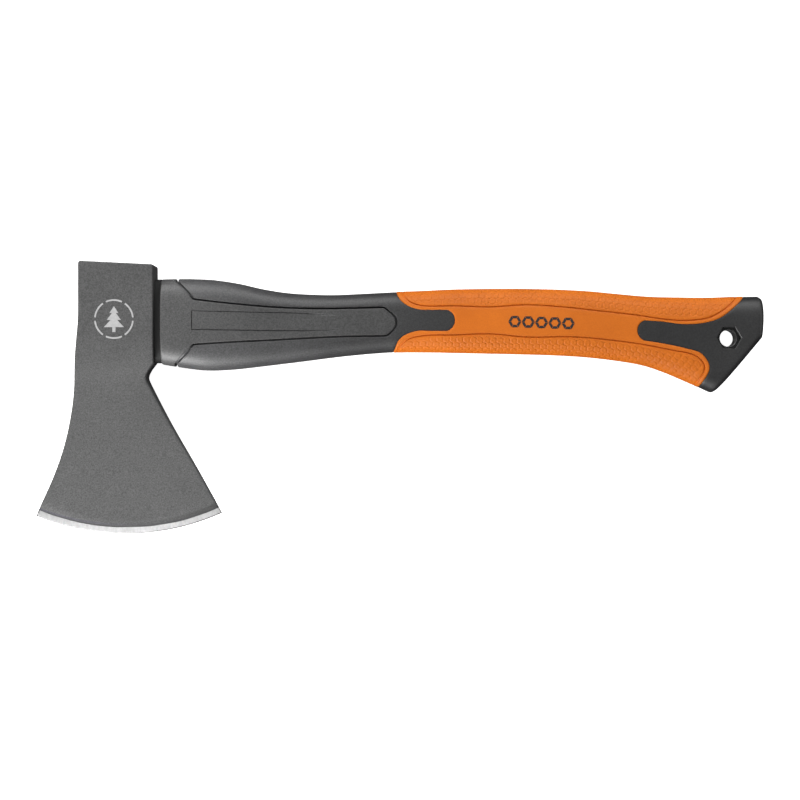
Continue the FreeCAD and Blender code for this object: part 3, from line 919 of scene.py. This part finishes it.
def half_thickness(xy):
    """Half the head's thickness: the forged taper, the painted facet and the ground bevel."""
    inward = from_edge(xy)
    honed = EDGE_FLAT + inward * math.tan(math.radians(HONED_ANGLE))
    grind = AT_HONED + (inward - HONED_WIDTH) * math.tan(math.radians(GRIND_ANGLE))
    facet = AT_GRIND + (inward - GRIND_WIDTH) * math.tan(math.radians(FACET_ANGLE))
    forged = hermite(CHEEK, xy[:, 1])
    return np.maximum(np.min([forged, honed, grind, facet], axis=0), EDGE_FLAT)


def grind_line():
    """Upper limit of the bare bevel, from heel to toe: a little wavy, with a step near the toe."""
    heel, toe = edge_angle(edge_point(HEEL_X)), edge_angle(edge_point(TOE_X))
    angles = heel + (toe - heel) * np.linspace(0, 1, 121)
    along = (angles - heel) * EDGE_RADIUS
    width = GRIND_WIDTH + 0.12 * np.sin(along * 0.11 + 0.6) + 0.07 * np.sin(along * 0.37)
    width += GRIND_STEP / (1 + np.exp((along + GRIND_STEP_AT) * 1.6)) - 0.1
    return EDGE_CENTRE + (EDGE_RADIUS - width)[:, None] * on_circle(angles)


def poll_corner(at, before, after, radius):
    """Round run that takes a corner at a point, between the runs before and after it."""
    at, before, after = np.array(at), np.array(before), np.array(after)
    u, w = (before - at) / np.linalg.norm(before - at), (after - at) / np.linalg.norm(after - at)
    half = math.acos(u @ w) / 2
    a, b = at + u * radius / math.tan(half), at + w * radius / math.tan(half)
    centre = at + (u + w) / np.linalg.norm(u + w) * radius / math.sin(half)
    middle = centre + (at - centre) / np.linalg.norm(at - centre) * radius
    return arc_through(a, middle, b, 0.35)


def head_rim():
    """The head's outline from the heel, up the underside, round the poll and down to the toe."""
    top, under = (-HEAD_LENGTH, POLL_Y + POLL_RISE), (0.0, POLL_Y)
    beard = curve([edge_point(HEEL_X)] + BEARD_MIDDLE[::-1] + [NOTCH[-1]], RIM_SPACING)
    notch = curve(NOTCH[::-1], 0.6)
    corner_a = poll_corner(under, NOTCH[0], top, POLL_CORNER_UNDER)
    corner_b = poll_corner(top, under, TOP_FACE_CURVE[0], POLL_CORNER_TOP)
    front = curve([corner_b[-1], (-HEAD_LENGTH, 14.0)] + TOP_FACE_CURVE + [edge_point(TOE_X)],
                  RIM_SPACING)
    return joined(beard, notch, respaced([NOTCH[0], corner_a[0]], RIM_SPACING), corner_a,
                  respaced([corner_a[-1], corner_b[0]], RIM_SPACING), corner_b, front)


def cut_at(run, line):
    """The run again with a point exactly where it crosses the line, and that point's number."""
    for i in range(len(run) - 1):
        for j in range(len(line) - 1):
            a, b = run[i], run[i + 1] - run[i]
            c, d = line[j], line[j + 1] - line[j]
            cross = b[0] * d[1] - b[1] * d[0]
            if abs(cross) < 1e-12:
                continue
            t = ((c - a)[0] * d[1] - (c - a)[1] * d[0]) / cross
            u = ((c - a)[0] * b[1] - (c - a)[1] * b[0]) / cross
            if 0 <= t <= 1 and 0 <= u <= 1:
                return np.vstack([run[:i + 1], a + t * b, run[i + 1:]]), i + 1
    raise ValueError("the runs don't cross")


def facet_line():
    """Where the painted facet runs out into the forged taper, from heel to toe."""
    heel, toe = edge_angle(edge_point(HEEL_X)), edge_angle(edge_point(TOE_X))
    inward = np.linspace(GRIND_WIDTH + 0.5, 16.0, 120)
    facet = AT_GRIND + (inward - GRIND_WIDTH) * math.tan(math.radians(FACET_ANGLE))
    out = []
    for a in np.linspace(heel, toe, 90):
        ray = EDGE_CENTRE + np.outer(EDGE_RADIUS - inward, [math.cos(a), math.sin(a)])
        short = facet - hermite(CHEEK, ray[:, 1])
        out.append(ray[np.argmax(short > 0)] if (short > 0).any() else ray[-1])
    return respaced(np.array(out), 1.2)


def lengthened(run, extra):
    """The run with a straight piece added to each end."""
    first = run[0] + (run[0] - run[1]) / np.linalg.norm(run[0] - run[1]) * extra
    last = run[-1] + (run[-1] - run[-2]) / np.linalg.norm(run[-1] - run[-2]) * extra
    return np.vstack([first, run, last])


def half_oval(half_y, half_z):
    """Half of the eye's outline, from its poll end to its other end."""
    c, s = on_circle(np.linspace(0, math.pi, 41)).T
    reach = (np.abs(c / half_y) ** EYE_POWER + np.abs(s / half_z) ** EYE_POWER) ** (-1 / EYE_POWER)
    points = np.stack([reach * c, reach * s], 1)
    points[[0, -1], 1] = 0.0
    return points


WALL_SHARES = (1.0, 0.75, 0.5, 0.25, 0.0)   # heights of a wall's rows, as shares of the top one


def to_middle(row):
    """Rows from one row of points straight down to the middle plane."""
    return [row * [1, 1, share] for share in WALL_SHARES]


def with_z(xy, z):
    return np.column_stack([xy, np.broadcast_to(z, len(xy))])


def eye_face(solid, rim, z, inward, oval):
    """A side of the head with half the eye's opening in it; returns the run inside its chamfer.

    rim and z are the outline points of that side and half its thickness there."""
    order = np.argsort(rim[:, 1])
    ys, xs, zs = rim[order, 1], rim[order, 0], z[order]
    outer = half_oval(oval[0] + EYE_CHAMFER, oval[1] + EYE_CHAMFER)
    loop = joined(np.stack([ys, zs], 1), np.outer(WALL_SHARES, [0, zs[-1]]) + [ys[-1], 0],
                  respaced([(ys[-1], 0), outer[0]], 1.5), outer,
                  respaced([outer[-1], (ys[0], 0)], 1.5),
                  np.outer(WALL_SHARES[::-1], [0, zs[0]]) + [ys[0], 0])[:-1]
    yz, faces = filled(loop, 1.8, 0.8)
    solid.patch(np.column_stack([np.interp(yz[:, 0], ys, xs), yz]), faces)
    inner = half_oval(*oval)
    rows = []
    for share in (0.0, 0.33, 0.67, 1.0):
        ring = outer + (inner - outer) * math.sin(share * math.pi / 2)
        depth = EYE_CHAMFER * (1 - math.cos(share * math.pi / 2)) * inward
        rows.append(np.column_stack([np.interp(ring[:, 0], ys, xs) + depth, ring]))
    solid.strip(rows)
    return rows[-1]


def cut_rim(grind):
    """The head's outline with points where the bevel's limit crosses it, and their numbers."""
    rim, heel_cut = cut_at(head_rim(), grind)
    rim, toe_cut = cut_at(rim[::-1], grind[::-1])
    return rim[::-1], heel_cut, len(rim) - 1 - toe_cut


def between(line, inset, first, last):
    """The bevel's limit inside the outline, ended on two of the outline's points."""
    line = line[(from_edge(line) > 0) & inside(line, inset)]
    for end in (inset[first], inset[last]):
        line = line[np.linalg.norm(line - end, axis=1) > 0.5]
    return np.vstack([inset[first], line, inset[last]])


def cheek_triangles(inset, grind, facet, honed, bevel_loop):
    """(points, triangles) of a cheek, closer together on the bevel, with edges on every line."""
    plan = Plan()
    plan.run(inset, closed=True)
    for line in (grind, facet, honed):
        plan.run(line)
    for spacing, on_bevel in ((2.0, False), (0.9, True)):
        free = lattice(inset, spacing)
        free = free[inside(free, bevel_loop) == on_bevel]
        for line in (closed_run(inset), grind, facet):
            free = free[to_run(free, line)[0] > 0.5 * spacing]
        plan.add(free)
    return plan.triangles(lambda middles: inside(middles, inset))


def rim_rows(inset, loop, out, radius):
    """Rows of points over the rounding between a cheek and the walls; the last is on the loop."""
    z_inset = half_thickness(inset)
    rows = []
    for share in np.linspace(0, 1, 6):
        angle = share * math.pi / 2
        spot = inset + out * (radius * math.sin(angle))[:, None]
        rows.append(with_z(spot, z_inset - radius * (1 - math.cos(angle))))
    rows[-1][:, :2] = loop
    return rows


def grind_wall(solid, grind, rows, down, cuts):
    """The hidden wall where the forging and its ground edge meet."""
    solid.strip(to_middle(with_z(grind, half_thickness(grind))))
    for n in cuts:
        column = [(rows[0][n] * [1, 1, share]).tolist() for share in WALL_SHARES[::-1]]
        corner = column + [row[n].tolist() for row in rows[1:] + down[1:]]
        solid.patch(corner, [range(len(corner))])


def axe_head(coating, steel):
    grind = lengthened(grind_line(), 3.0)
    rim, heel_cut, toe_cut = cut_rim(grind)
    arc_angles = np.linspace(edge_angle(rim[-1]), edge_angle(rim[0]), 120)[1:-1]
    arc = EDGE_CENTRE + EDGE_RADIUS * on_circle(arc_angles)
    loop = np.vstack([rim, arc])
    out = -side_normals(loop, closed=True)
    radius = np.minimum(RIM_ROUND, 0.42 * half_thickness(loop))
    radius[len(rim) - 1:] = 0.0
    radius[0] = 0.0
    inset = loop - out * radius[:, None]
    grind = between(grind, inset, heel_cut, toe_cut)
    facet = facet_line()
    facet = facet[inside(facet, inset)]
    facet = facet[to_run(facet, closed_run(inset))[0] > 0.6]
    honed = EDGE_CENTRE + (arc - EDGE_CENTRE) * (1 - HONED_WIDTH / EDGE_RADIUS)
    honed = honed[inside(honed, inset)]
    honed = honed[to_run(honed, closed_run(rim))[0] > 0.5]
    bevel_loop = np.vstack([grind, inset[toe_cut + 1:], inset[:heel_cut]])
    xy, faces = cheek_triangles(inset, grind, facet, honed, bevel_loop)
    cheek = with_z(xy, half_thickness(xy))
    on_bevel = inside(xy[faces].mean(1), bevel_loop)
    rows = rim_rows(inset, loop, out, radius)
    down = to_middle(rows[-1])

    body, bevel = Solid(), Solid()
    body.patch(cheek, faces[~on_bevel])
    bevel.patch(cheek, faces[on_bevel])
    forged = np.arange(heel_cut, toe_cut + 1)
    ground = np.concatenate([np.arange(toe_cut, len(loop)), np.arange(0, heel_cut + 1)])
    body.strip([row[forged] for row in rows])
    bevel.strip([row[ground] for row in rows])
    bevel.strip([row[ground] for row in down])
    for solid in (body, bevel):
        grind_wall(solid, grind, rows, down, (heel_cut, toe_cut))
    x, y = loop.T
    under = np.nonzero((np.abs(x) < 1e-6) & (np.abs(y) < UNDER_REACH))[0]
    upper = np.nonzero((x < TOP_LIMITS[0]) & (y > TOP_LIMITS[1]) & (y < TOP_LIMITS[2]))[0]
    for first, last in ((heel_cut, under[0]), (under[-1], upper[0]), (upper[-1], toe_cut)):
        body.strip([row[first:last + 1] for row in down])
    eye = (EYE_HALF_Y, EYE_HALF_Z)
    flared = (EYE_HALF_Y + EYE_FLARE, EYE_HALF_Z + EYE_FLARE)
    mouth = eye_face(body, loop[under], rows[-1][under, 2], -1, eye)
    back = eye_face(body, loop[upper], rows[-1][upper, 2], 1, flared)
    body.strip([mouth + (back - mouth) * share for share in np.linspace(0, 1, 16)])
    body.mirrored()
    bevel.mirrored()
    head = body.make("axe_head_forging", coating, "head_coating", 30.0)
    bevel.make("axe_head_ground_edge", steel, "ground_edge", 30.0)
    return head


# ============================== prints ======================================================
PRINT_RAISE = 0.05
HEAD_PRINT_AT = (-19.2, 0.8)
HEAD_PRINT_RING = (9.0, 9.8)
HEAD_PRINT_ARCS, HEAD_PRINT_GAP = 6, 0.09
HALF_CONIFER = [(0.0, 6.4), (2.2, 3.0), (1.0, 3.0), (3.5, -0.4), (1.6, -0.4), (5.0, -4.0),
                (0.8, -4.0), (0.8, -6.4)]
GRIP_PRINT_AT = (192.3, -0.9)
GRIP_PRINT_PITCH, GRIP_PRINT_SLOPE = 6.6, -0.035
GRIP_PRINT_OUTER, GRIP_PRINT_INNER = 3.2, 1.8
GRIP_PRINT_GAP = 2.0        # degrees left open at each end of a side


def plate(solid, outline, place):
    """Thin closed plate over a flat outline; place(xy, raised) puts points on the surface."""
    xy, faces = filled(outline, 0.8, 0.35)
    solid.patch(place(xy, PRINT_RAISE), faces)
    solid.patch(place(xy, -PRINT_RAISE), faces)
    closed = closed_run(outline)
    solid.strip([place(closed, PRINT_RAISE), place(closed, -PRINT_RAISE)])


def broken_ring(solid, centre, place):
    """The head's printed ring, as arcs with a small gap between them."""
    inner, outer = HEAD_PRINT_RING
    step = 2 * math.pi / HEAD_PRINT_ARCS
    for k in range(HEAD_PRINT_ARCS):
        arc = on_circle(np.linspace(k * step + HEAD_PRINT_GAP, (k + 1) * step - HEAD_PRINT_GAP, 24))
        plate(solid, np.vstack([centre + outer * arc, centre + inner * arc[::-1]]), place)


def head_print(material):
    """A plain conifer in a broken ring, printed on both cheeks."""
    badge = Solid()

    def on_cheek(xy, raised):
        return with_z(xy, half_thickness(np.asarray(xy)) + raised)

    centre = np.array(HEAD_PRINT_AT)
    broken_ring(badge, centre, on_cheek)
    tree = np.array(HALF_CONIFER + [(-x, y) for x, y in HALF_CONIFER[:0:-1]]) + centre
    sides = [straight(a, b, 0.5) for a, b in zip(tree, np.roll(tree, -1, axis=0))]
    plate(badge, joined(*sides)[:-1], on_cheek)
    badge.mirrored()
    badge.make("head_print", material, "print_light")


def grip_print(material):
    """A short row of plain hexagon rings, printed on both sides of the grip."""
    badge = Solid()

    def on_grip(xy, raised):
        return skin.at(skin.from_side(xy), GRIP_PROUD + raised)

    outer, inner = GRIP_PRINT_OUTER, GRIP_PRINT_INNER
    for k in (-2, -1, 0, 1, 2):
        centre = np.array(GRIP_PRINT_AT) + [GRIP_PRINT_PITCH * k,
                                            GRIP_PRINT_SLOPE * GRIP_PRINT_PITCH * k]
        for side in range(6):
            a = math.radians(60 * side + GRIP_PRINT_GAP)
            b = math.radians(60 * (side + 1) - GRIP_PRINT_GAP)
            corners = [centre + r * np.array([math.cos(t), math.sin(t)])
                       for r, t in ((outer, a), (outer, b), (inner, b), (inner, a))]
            sides = [straight(corners[i - 1], corners[i], 0.5) for i in (1, 2, 3, 0)]
            plate(badge, joined(*sides)[:-1], on_grip)
    badge.mirrored()
    badge.make("grip_print", material, "print_dark")


# ============================== materials ===================================================
class Shader:
    """A Principled material with a few short ways to add procedural detail to it."""

    def __init__(self, name, roughness, metallic=0.0, **sockets):
        self.material = bpy.data.materials.new(name)
        self.material.use_nodes = True
        self.nodes, self.links = self.material.node_tree.nodes, self.material.node_tree.links
        self.shader = self.nodes["Principled BSDF"]
        self.fill(self.shader, Roughness=roughness, Metallic=metallic, **sockets)
        self.coordinates = self.add("TexCoord").outputs["Object"]

    def put(self, socket, value):
        """Links another node's output to the socket, or sets the socket to a value."""
        if isinstance(value, bpy.types.NodeSocket):
            self.links.new(value, socket)
        else:
            socket.default_value = value

    def fill(self, node, **values):
        """Fills a node's inputs, which are named here with _ for a space."""
        for name, value in values.items():
            self.put(node.inputs[name.replace("_", " ")], value)

    def add(self, kind, **values):
        node = self.nodes.new("ShaderNode" + kind)
        self.fill(node, **values)
        return node

    def stretched(self, scale):
        return self.add("Mapping", Vector=self.coordinates, Scale=scale).outputs["Vector"]

    def noise(self, scale, detail=3.0, roughness=0.55, stretch=None):
        vector = self.coordinates if stretch is None else self.stretched(stretch)
        node = self.add("TexNoise", Vector=vector, Scale=scale, Detail=detail, Roughness=roughness)
        return node.outputs["Fac"]

    def ramp(self, value, stops):
        """Colours (or greys) along a value: stops are (place, colour or grey)."""
        node = self.add("ValToRGB", Fac=value)
        elements = node.color_ramp.elements
        while len(elements) < len(stops):
            elements.new(0.5)
        for element, (place, colour) in zip(elements, stops):
            element.position = place
            element.color = (*((colour,) * 3 if isinstance(colour, float) else colour), 1.0)
        return node.outputs["Color"]

    def mix(self, share, a, b, blend="MIX"):
        node = self.add("Mix", Factor=share)
        node.data_type, node.blend_type = "RGBA", blend
        for socket, value in ((node.inputs[6], a), (node.inputs[7], b)):
            self.put(socket, (*value, 1.0) if isinstance(value, tuple) else value)
        return node.outputs[2]

    def math(self, operation, *values):
        node = self.add("Math")
        node.operation = operation
        for socket, value in zip(node.inputs, values):
            self.put(socket, value)
        return node.outputs[0]

    def along(self, axis, start, end):
        """0 to 1 from start to end along an axis of the design frame."""
        parts = self.add("SeparateXYZ", Vector=self.coordinates)
        return self.smooth_step(parts.outputs[axis], (start + TO_FRAME[axis]) * MM,
                                (end + TO_FRAME[axis]) * MM, "LINEAR")

    def smooth_step(self, value, start, end, shape="SMOOTHSTEP"):
        node = self.add("MapRange", Value=value, From_Min=start, From_Max=end)
        node.interpolation_type = shape
        return node.outputs["Result"]

    def ring_depth(self, centre, radius):
        """Millimetres inside a circle of the design frame's side view."""
        node = self.add("VectorMath")
        node.operation = "DISTANCE"
        self.put(node.inputs[0], self.stretched((1.0, 1.0, 0.0)))
        self.put(node.inputs[1], (*((centre + TO_FRAME[:2]) * MM), 0.0))
        return self.math("MULTIPLY_ADD", node.outputs["Value"], -1 / MM, radius)

    def colour(self, output):
        self.fill(self.shader, Base_Color=output)

    def roughness(self, output, low, high):
        node = self.add("MapRange", Value=output, To_Min=low, To_Max=high)
        self.fill(self.shader, Roughness=node.outputs["Result"])

    def bump(self, *layers):
        """layers are (height output, distance in metres, strength)."""
        previous = None
        for height, distance, strength in layers:
            node = self.add("Bump", Height=height, Distance=distance, Strength=strength)
            if previous is not None:
                self.fill(node, Normal=previous)
            previous = node.outputs["Normal"]
        self.fill(self.shader, Normal=previous)


def head_coating():
    """Matte grey coating with a fine speckle, tinted in a band beside the ground edge."""
    m = Shader("head_coating", 0.6)
    grain = m.noise(1500.0, 5.0, 0.75)
    clouds = m.noise(38.0, 3.0)
    fine = m.ramp(grain, [(0.36, 0.04), (0.64, 0.104)])
    broad = m.ramp(clouds, [(0.3, 0.9), (0.7, 1.06)])
    paint = m.mix(1.0, fine, broad, "MULTIPLY")
    inward = m.ring_depth(EDGE_CENTRE, EDGE_RADIUS)
    toe = m.along(0, TOE_X, HEEL_X)
    reach = m.math("MULTIPLY_ADD", toe, 1.4, GRIND_WIDTH + 1.2)
    band = m.math("SUBTRACT", 1.0, m.smooth_step(m.math("SUBTRACT", inward, reach), -0.3, 0.5))
    tint = m.ramp(toe, [(0.0, (0.64, 0.60, 0.84)), (0.35, (0.82, 0.80, 0.92)),
                        (0.6, 0.78), (1.0, 0.52)])
    burnt = m.mix(band, paint, m.mix(1.0, paint, tint, "MULTIPLY"))
    lip = m.smooth_step(inward, GRIND_WIDTH + 1.0, GRIND_WIDTH + 0.4)
    m.colour(m.mix(lip, burnt, (0.03, 0.03, 0.031)))
    m.roughness(grain, 0.52, 0.72)
    m.bump((grain, 0.00006, 0.7), (m.noise(420.0, 3.0), 0.0001, 0.35))
    return m.material


def ground_edge():
    """Bare brushed steel, darkened towards the toe by painted shade, and darker along its very edge,
    most towards the heel.
    """
    m = Shader("ground_edge", 0.3, 1.0)
    scratch = m.noise(900.0, 4.0, 0.7, (1.0, 0.06, 1.0))
    toe = m.along(0, TOE_X, HEEL_X)
    # Painted shade: the bevel's colour is made darker towards the toe.
    painted_shade_to_toe = m.ramp(toe, [(0.0, 0.36), (0.5, 0.55), (1.0, 0.95)])
    brushed = m.ramp(scratch, [(0.3, 0.38), (0.7, 0.56)])
    ground = m.mix(1.0, brushed, painted_shade_to_toe, "MULTIPLY")
    edge_darkened = m.mix(1.0, ground, m.ramp(toe, [(0.45, 0.85), (0.7, 0.3), (1.0, 0.2)]), "MULTIPLY")
    at_edge = m.smooth_step(m.ring_depth(EDGE_CENTRE, EDGE_RADIUS), 0.6, 0.35)
    m.colour(m.mix(at_edge, ground, edge_darkened))
    m.roughness(scratch, 0.5, 0.62)
    m.bump((scratch, 0.00003, 0.5))
    return m.material


def moulded(name, low, high, roughness, head_end_painted_light):
    """Satin plastic with a fine grain and painted light along the handle; the last argument is how
    many times as light its end at the head is.

    The change of tone along the handle is painted light and shade, tuned to match the picture."""
    m = Shader(name, roughness)
    grain = m.noise(1300.0, 5.0, 0.7)
    drift = m.noise(30.0, 4.0)
    tone = m.ramp(drift, [(0.3, low), (0.7, high)])
    spot = m.ramp(grain, [(0.36, 0.6), (0.64, 1.35)])
    # Painted light and shade: the plastic is lighter towards the head and a little darker before the
    # pommel, where the lamps fall.
    painted_light_along_handle = m.ramp(m.along(0, 15.0, 295.0), [(0.0, head_end_painted_light), (0.43, 1.0),
                                                   (0.84, 0.75), (1.0, 0.95)])
    m.colour(m.mix(1.0, m.mix(1.0, tone, spot, "MULTIPLY"), painted_light_along_handle, "MULTIPLY"))
    m.roughness(drift, roughness - 0.05, roughness + 0.08)
    m.bump((grain, 0.00004, 0.55), (m.noise(160.0, 3.0), 0.0001, 0.12))
    return m.material


def boss_plastic_painted_shade_and_light():
    """The boss round the hanging hole: painted shade makes its face near black, painted light makes
    its bore pale.
    """
    m = Shader("boss_plastic_painted_shade_and_light", 0.55)
    grain = m.noise(1300.0, 4.0)
    painted_light_in_bore = m.smooth_step(m.ring_depth(np.array(HOLE), PAINTED_LIGHT_BORE_RADIUS), -0.1, 0.1)
    # Painted shade on the face down in the hexagon, painted light on the bore's wall.
    tone = m.ramp(painted_light_in_bore, [(0.0, 0.007), (1.0, 0.5)])
    spot = m.ramp(grain, [(0.3, 0.75), (0.7, 1.15)])
    m.colour(m.mix(1.0, tone, spot, "MULTIPLY"))
    m.roughness(grain, 0.45, 0.6)
    m.bump((grain, 0.00004, 0.5))
    return m.material


def grip_rubber():
    """Orange rubber with a fine grain."""
    m = Shader("grip_rubber", 0.6, Specular_IOR_Level=0.3)
    grain = m.noise(1500.0, 3.0, 0.6)
    drift = m.noise(45.0, 4.0)
    tone = m.ramp(drift, [(0.3, (0.56, 0.130, 0.0045)), (0.7, (0.64, 0.155, 0.0065))])
    spot = m.ramp(grain, [(0.3, (0.93, 0.91, 0.88)), (0.7, (1.04, 1.05, 1.1))])
    m.colour(m.mix(1.0, tone, spot, "MULTIPLY"))
    m.roughness(drift, 0.52, 0.66)
    m.bump((grain, 0.00005, 0.5), (m.noise(260.0, 3.0), 0.0001, 0.15))
    return m.material


def plain(name, low, high, roughness, scale=900.0, stretch=None):
    """Any small or hidden piece: one colour drifting to another, with a fine uneven surface."""
    m = Shader(name, roughness)
    grain = m.noise(scale, 4.0, 0.6, stretch)
    m.colour(m.ramp(grain, [(0.3, low), (0.7, high)]))
    m.roughness(grain, roughness - 0.05, roughness + 0.1)
    m.bump((grain, 0.00005, 0.5))
    return m.material


# ============================== small visible and hidden pieces =============================
def dress(node, material):
    """A CAD node that is shown as it is gets its finish."""
    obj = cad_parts[node]
    obj.data.materials.clear()
    obj.data.materials.append(material)
    for polygon in obj.data.polygons:
        polygon.use_smooth = True


def eyelet(material):
    """The grey boss round the hanging hole, seen inside the shell's hexagon."""
    circle = on_circle(np.linspace(0, 2 * math.pi, 73)[:-1])
    ring = Solid()
    ring.strip([with_z(np.array(HOLE) + r * circle, z) for r, z in BOSS_PROFILE], closed=True)
    ring.mirrored()
    ring.make("hanging_hole_boss", material, "sheath_grey")


# ============================== stage =======================================================
VIEW_CENTRE = (0.0006, -0.0011)
VIEW_DISTANCE = 1.20
VIEW_WIDTH = 0.400
WORLD_FILL = 0.06


def floor_sheet():
    """A pale floor that gives the axe no bounced light and no reflection."""
    bm = bmesh.new()
    bmesh.ops.create_grid(bm, x_segments=8, y_segments=8, size=3.0)
    mesh = bpy.data.meshes.new("floor")
    bm.to_mesh(mesh)
    bm.free()
    floor = bpy.data.objects.new("floor", mesh)
    floor.location.z = -0.0004
    bpy.context.collection.objects.link(floor)
    pale = bpy.data.materials.new("floor_paper")
    pale.use_nodes = True
    shader = pale.node_tree.nodes["Principled BSDF"]
    shader.inputs["Base Color"].default_value = (0.9, 0.9, 0.9, 1.0)
    shader.inputs["Roughness"].default_value = 0.9
    shader.inputs["Emission Color"].default_value = (1.0, 1.0, 1.0, 1.0)
    shader.inputs["Emission Strength"].default_value = 0.95
    mesh.materials.append(pale)
    floor.visible_diffuse = False
    floor.visible_glossy = False


def studio_world():
    """White to the camera, and a faint even fill on the axe."""
    world = bpy.data.worlds.new("studio")
    bpy.context.scene.world = world
    world.use_nodes = True
    nodes, links = world.node_tree.nodes, world.node_tree.links
    nodes["Background"].inputs["Color"].default_value = (1.0, 1.0, 1.0, 1.0)
    seen = nodes.new("ShaderNodeLightPath")
    strength = nodes.new("ShaderNodeMapRange")
    strength.inputs["To Min"].default_value = WORLD_FILL
    strength.inputs["To Max"].default_value = 1.0
    links.new(seen.outputs["Is Camera Ray"], strength.inputs["Value"])
    links.new(strength.outputs["Result"], nodes["Background"].inputs["Strength"])


LIGHTS = [("upper_left", (-0.6, 0.85, 0.45), (0.7, 0.5), 8.6),
          ("upper_middle", (0.0, 0.9, 0.45), (0.7, 0.5), 4.3),
          ("upper_right", (0.6, 0.85, 0.45), (0.7, 0.5), 3.2),
          ("lower_left", (-0.3, -0.45, 0.2), (0.4, 0.3), 6.0),
          ("pommel_end", (1.0, 0.2, 0.5), (0.5, 0.5), 1.8),
          ("above", (0.0, 0.0, 1.4), (1.0, 1.0), 3.0)]


def area_light(name, place, size, watts):
    """A soft rectangular light that faces the origin."""
    light = bpy.data.lights.new(name, "AREA")
    light.shape = "RECTANGLE"
    light.size, light.size_y = size
    light.energy = watts
    obj = bpy.data.objects.new(name, light)
    obj.location = place
    obj.rotation_euler = (-Vector(place)).to_track_quat("-Z", "Y").to_euler()
    bpy.context.collection.objects.link(obj)


def camera():
    """Looks straight down from VIEW_DISTANCE, VIEW_WIDTH across at the axe's middle plane."""
    data = bpy.data.cameras.new("camera")
    data.sensor_width = 36.0
    data.lens = 36.0 * VIEW_DISTANCE / VIEW_WIDTH
    obj = bpy.data.objects.new("camera", data)
    middle = TO_FRAME[2] * MM
    obj.location = (*VIEW_CENTRE, middle + VIEW_DISTANCE)
    bpy.context.collection.objects.link(obj)
    bpy.context.scene.camera = obj


def main():
    # The last number given to moulded is the painted light at the handle's end by the head.
    sheath_grey = moulded("sheath_plastic", 0.034, 0.044, 0.45, 1.8)
    shell_dark = moulded("shell_plastic", (0.017, 0.017, 0.0175), (0.024, 0.024, 0.0245), 0.45, 3.4)
    head = axe_head(head_coating(), ground_edge())
    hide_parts("axe_head")
    grip = soft_grip(grip_rubber())
    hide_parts("soft_grip")
    shell = outer_shell(shell_dark)
    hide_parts("outer_shell")
    sheath = inner_sheath(sheath_grey)
    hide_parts("inner_sheath")
    eyelet(boss_plastic_painted_shade_and_light())
    head_print(plain("print_light", 0.36, 0.46, 0.6))
    grip_print(plain("print_dark", (0.010, 0.009, 0.009), (0.016, 0.015, 0.015), 0.6))
    # The spacer is near black: its own black, made darker still as painted shade for the gap between
    # head and collar.
    dress("shoulder_spacer", plain("spacer_black_and_painted_shade", 0.004, 0.007, 0.7))
    dress("eye_cap", plain("cap_plastic", 0.02, 0.03, 0.5))
    dress("eye_resin", plain("epoxy", (0.04, 0.035, 0.03), (0.07, 0.06, 0.05), 0.15, 200.0))
    dress("fibreglass_core", plain("fibreglass", (0.45, 0.43, 0.30), (0.62, 0.6, 0.45), 0.35,
                                   300.0, stretch=(0.02, 1.0, 1.0)))
    floor_sheet()
    studio_world()
    for name, place, size, watts in LIGHTS:
        area_light(name, place, size, watts)
    camera()
    bpy.context.scene.view_settings.view_transform = "Standard"


main()
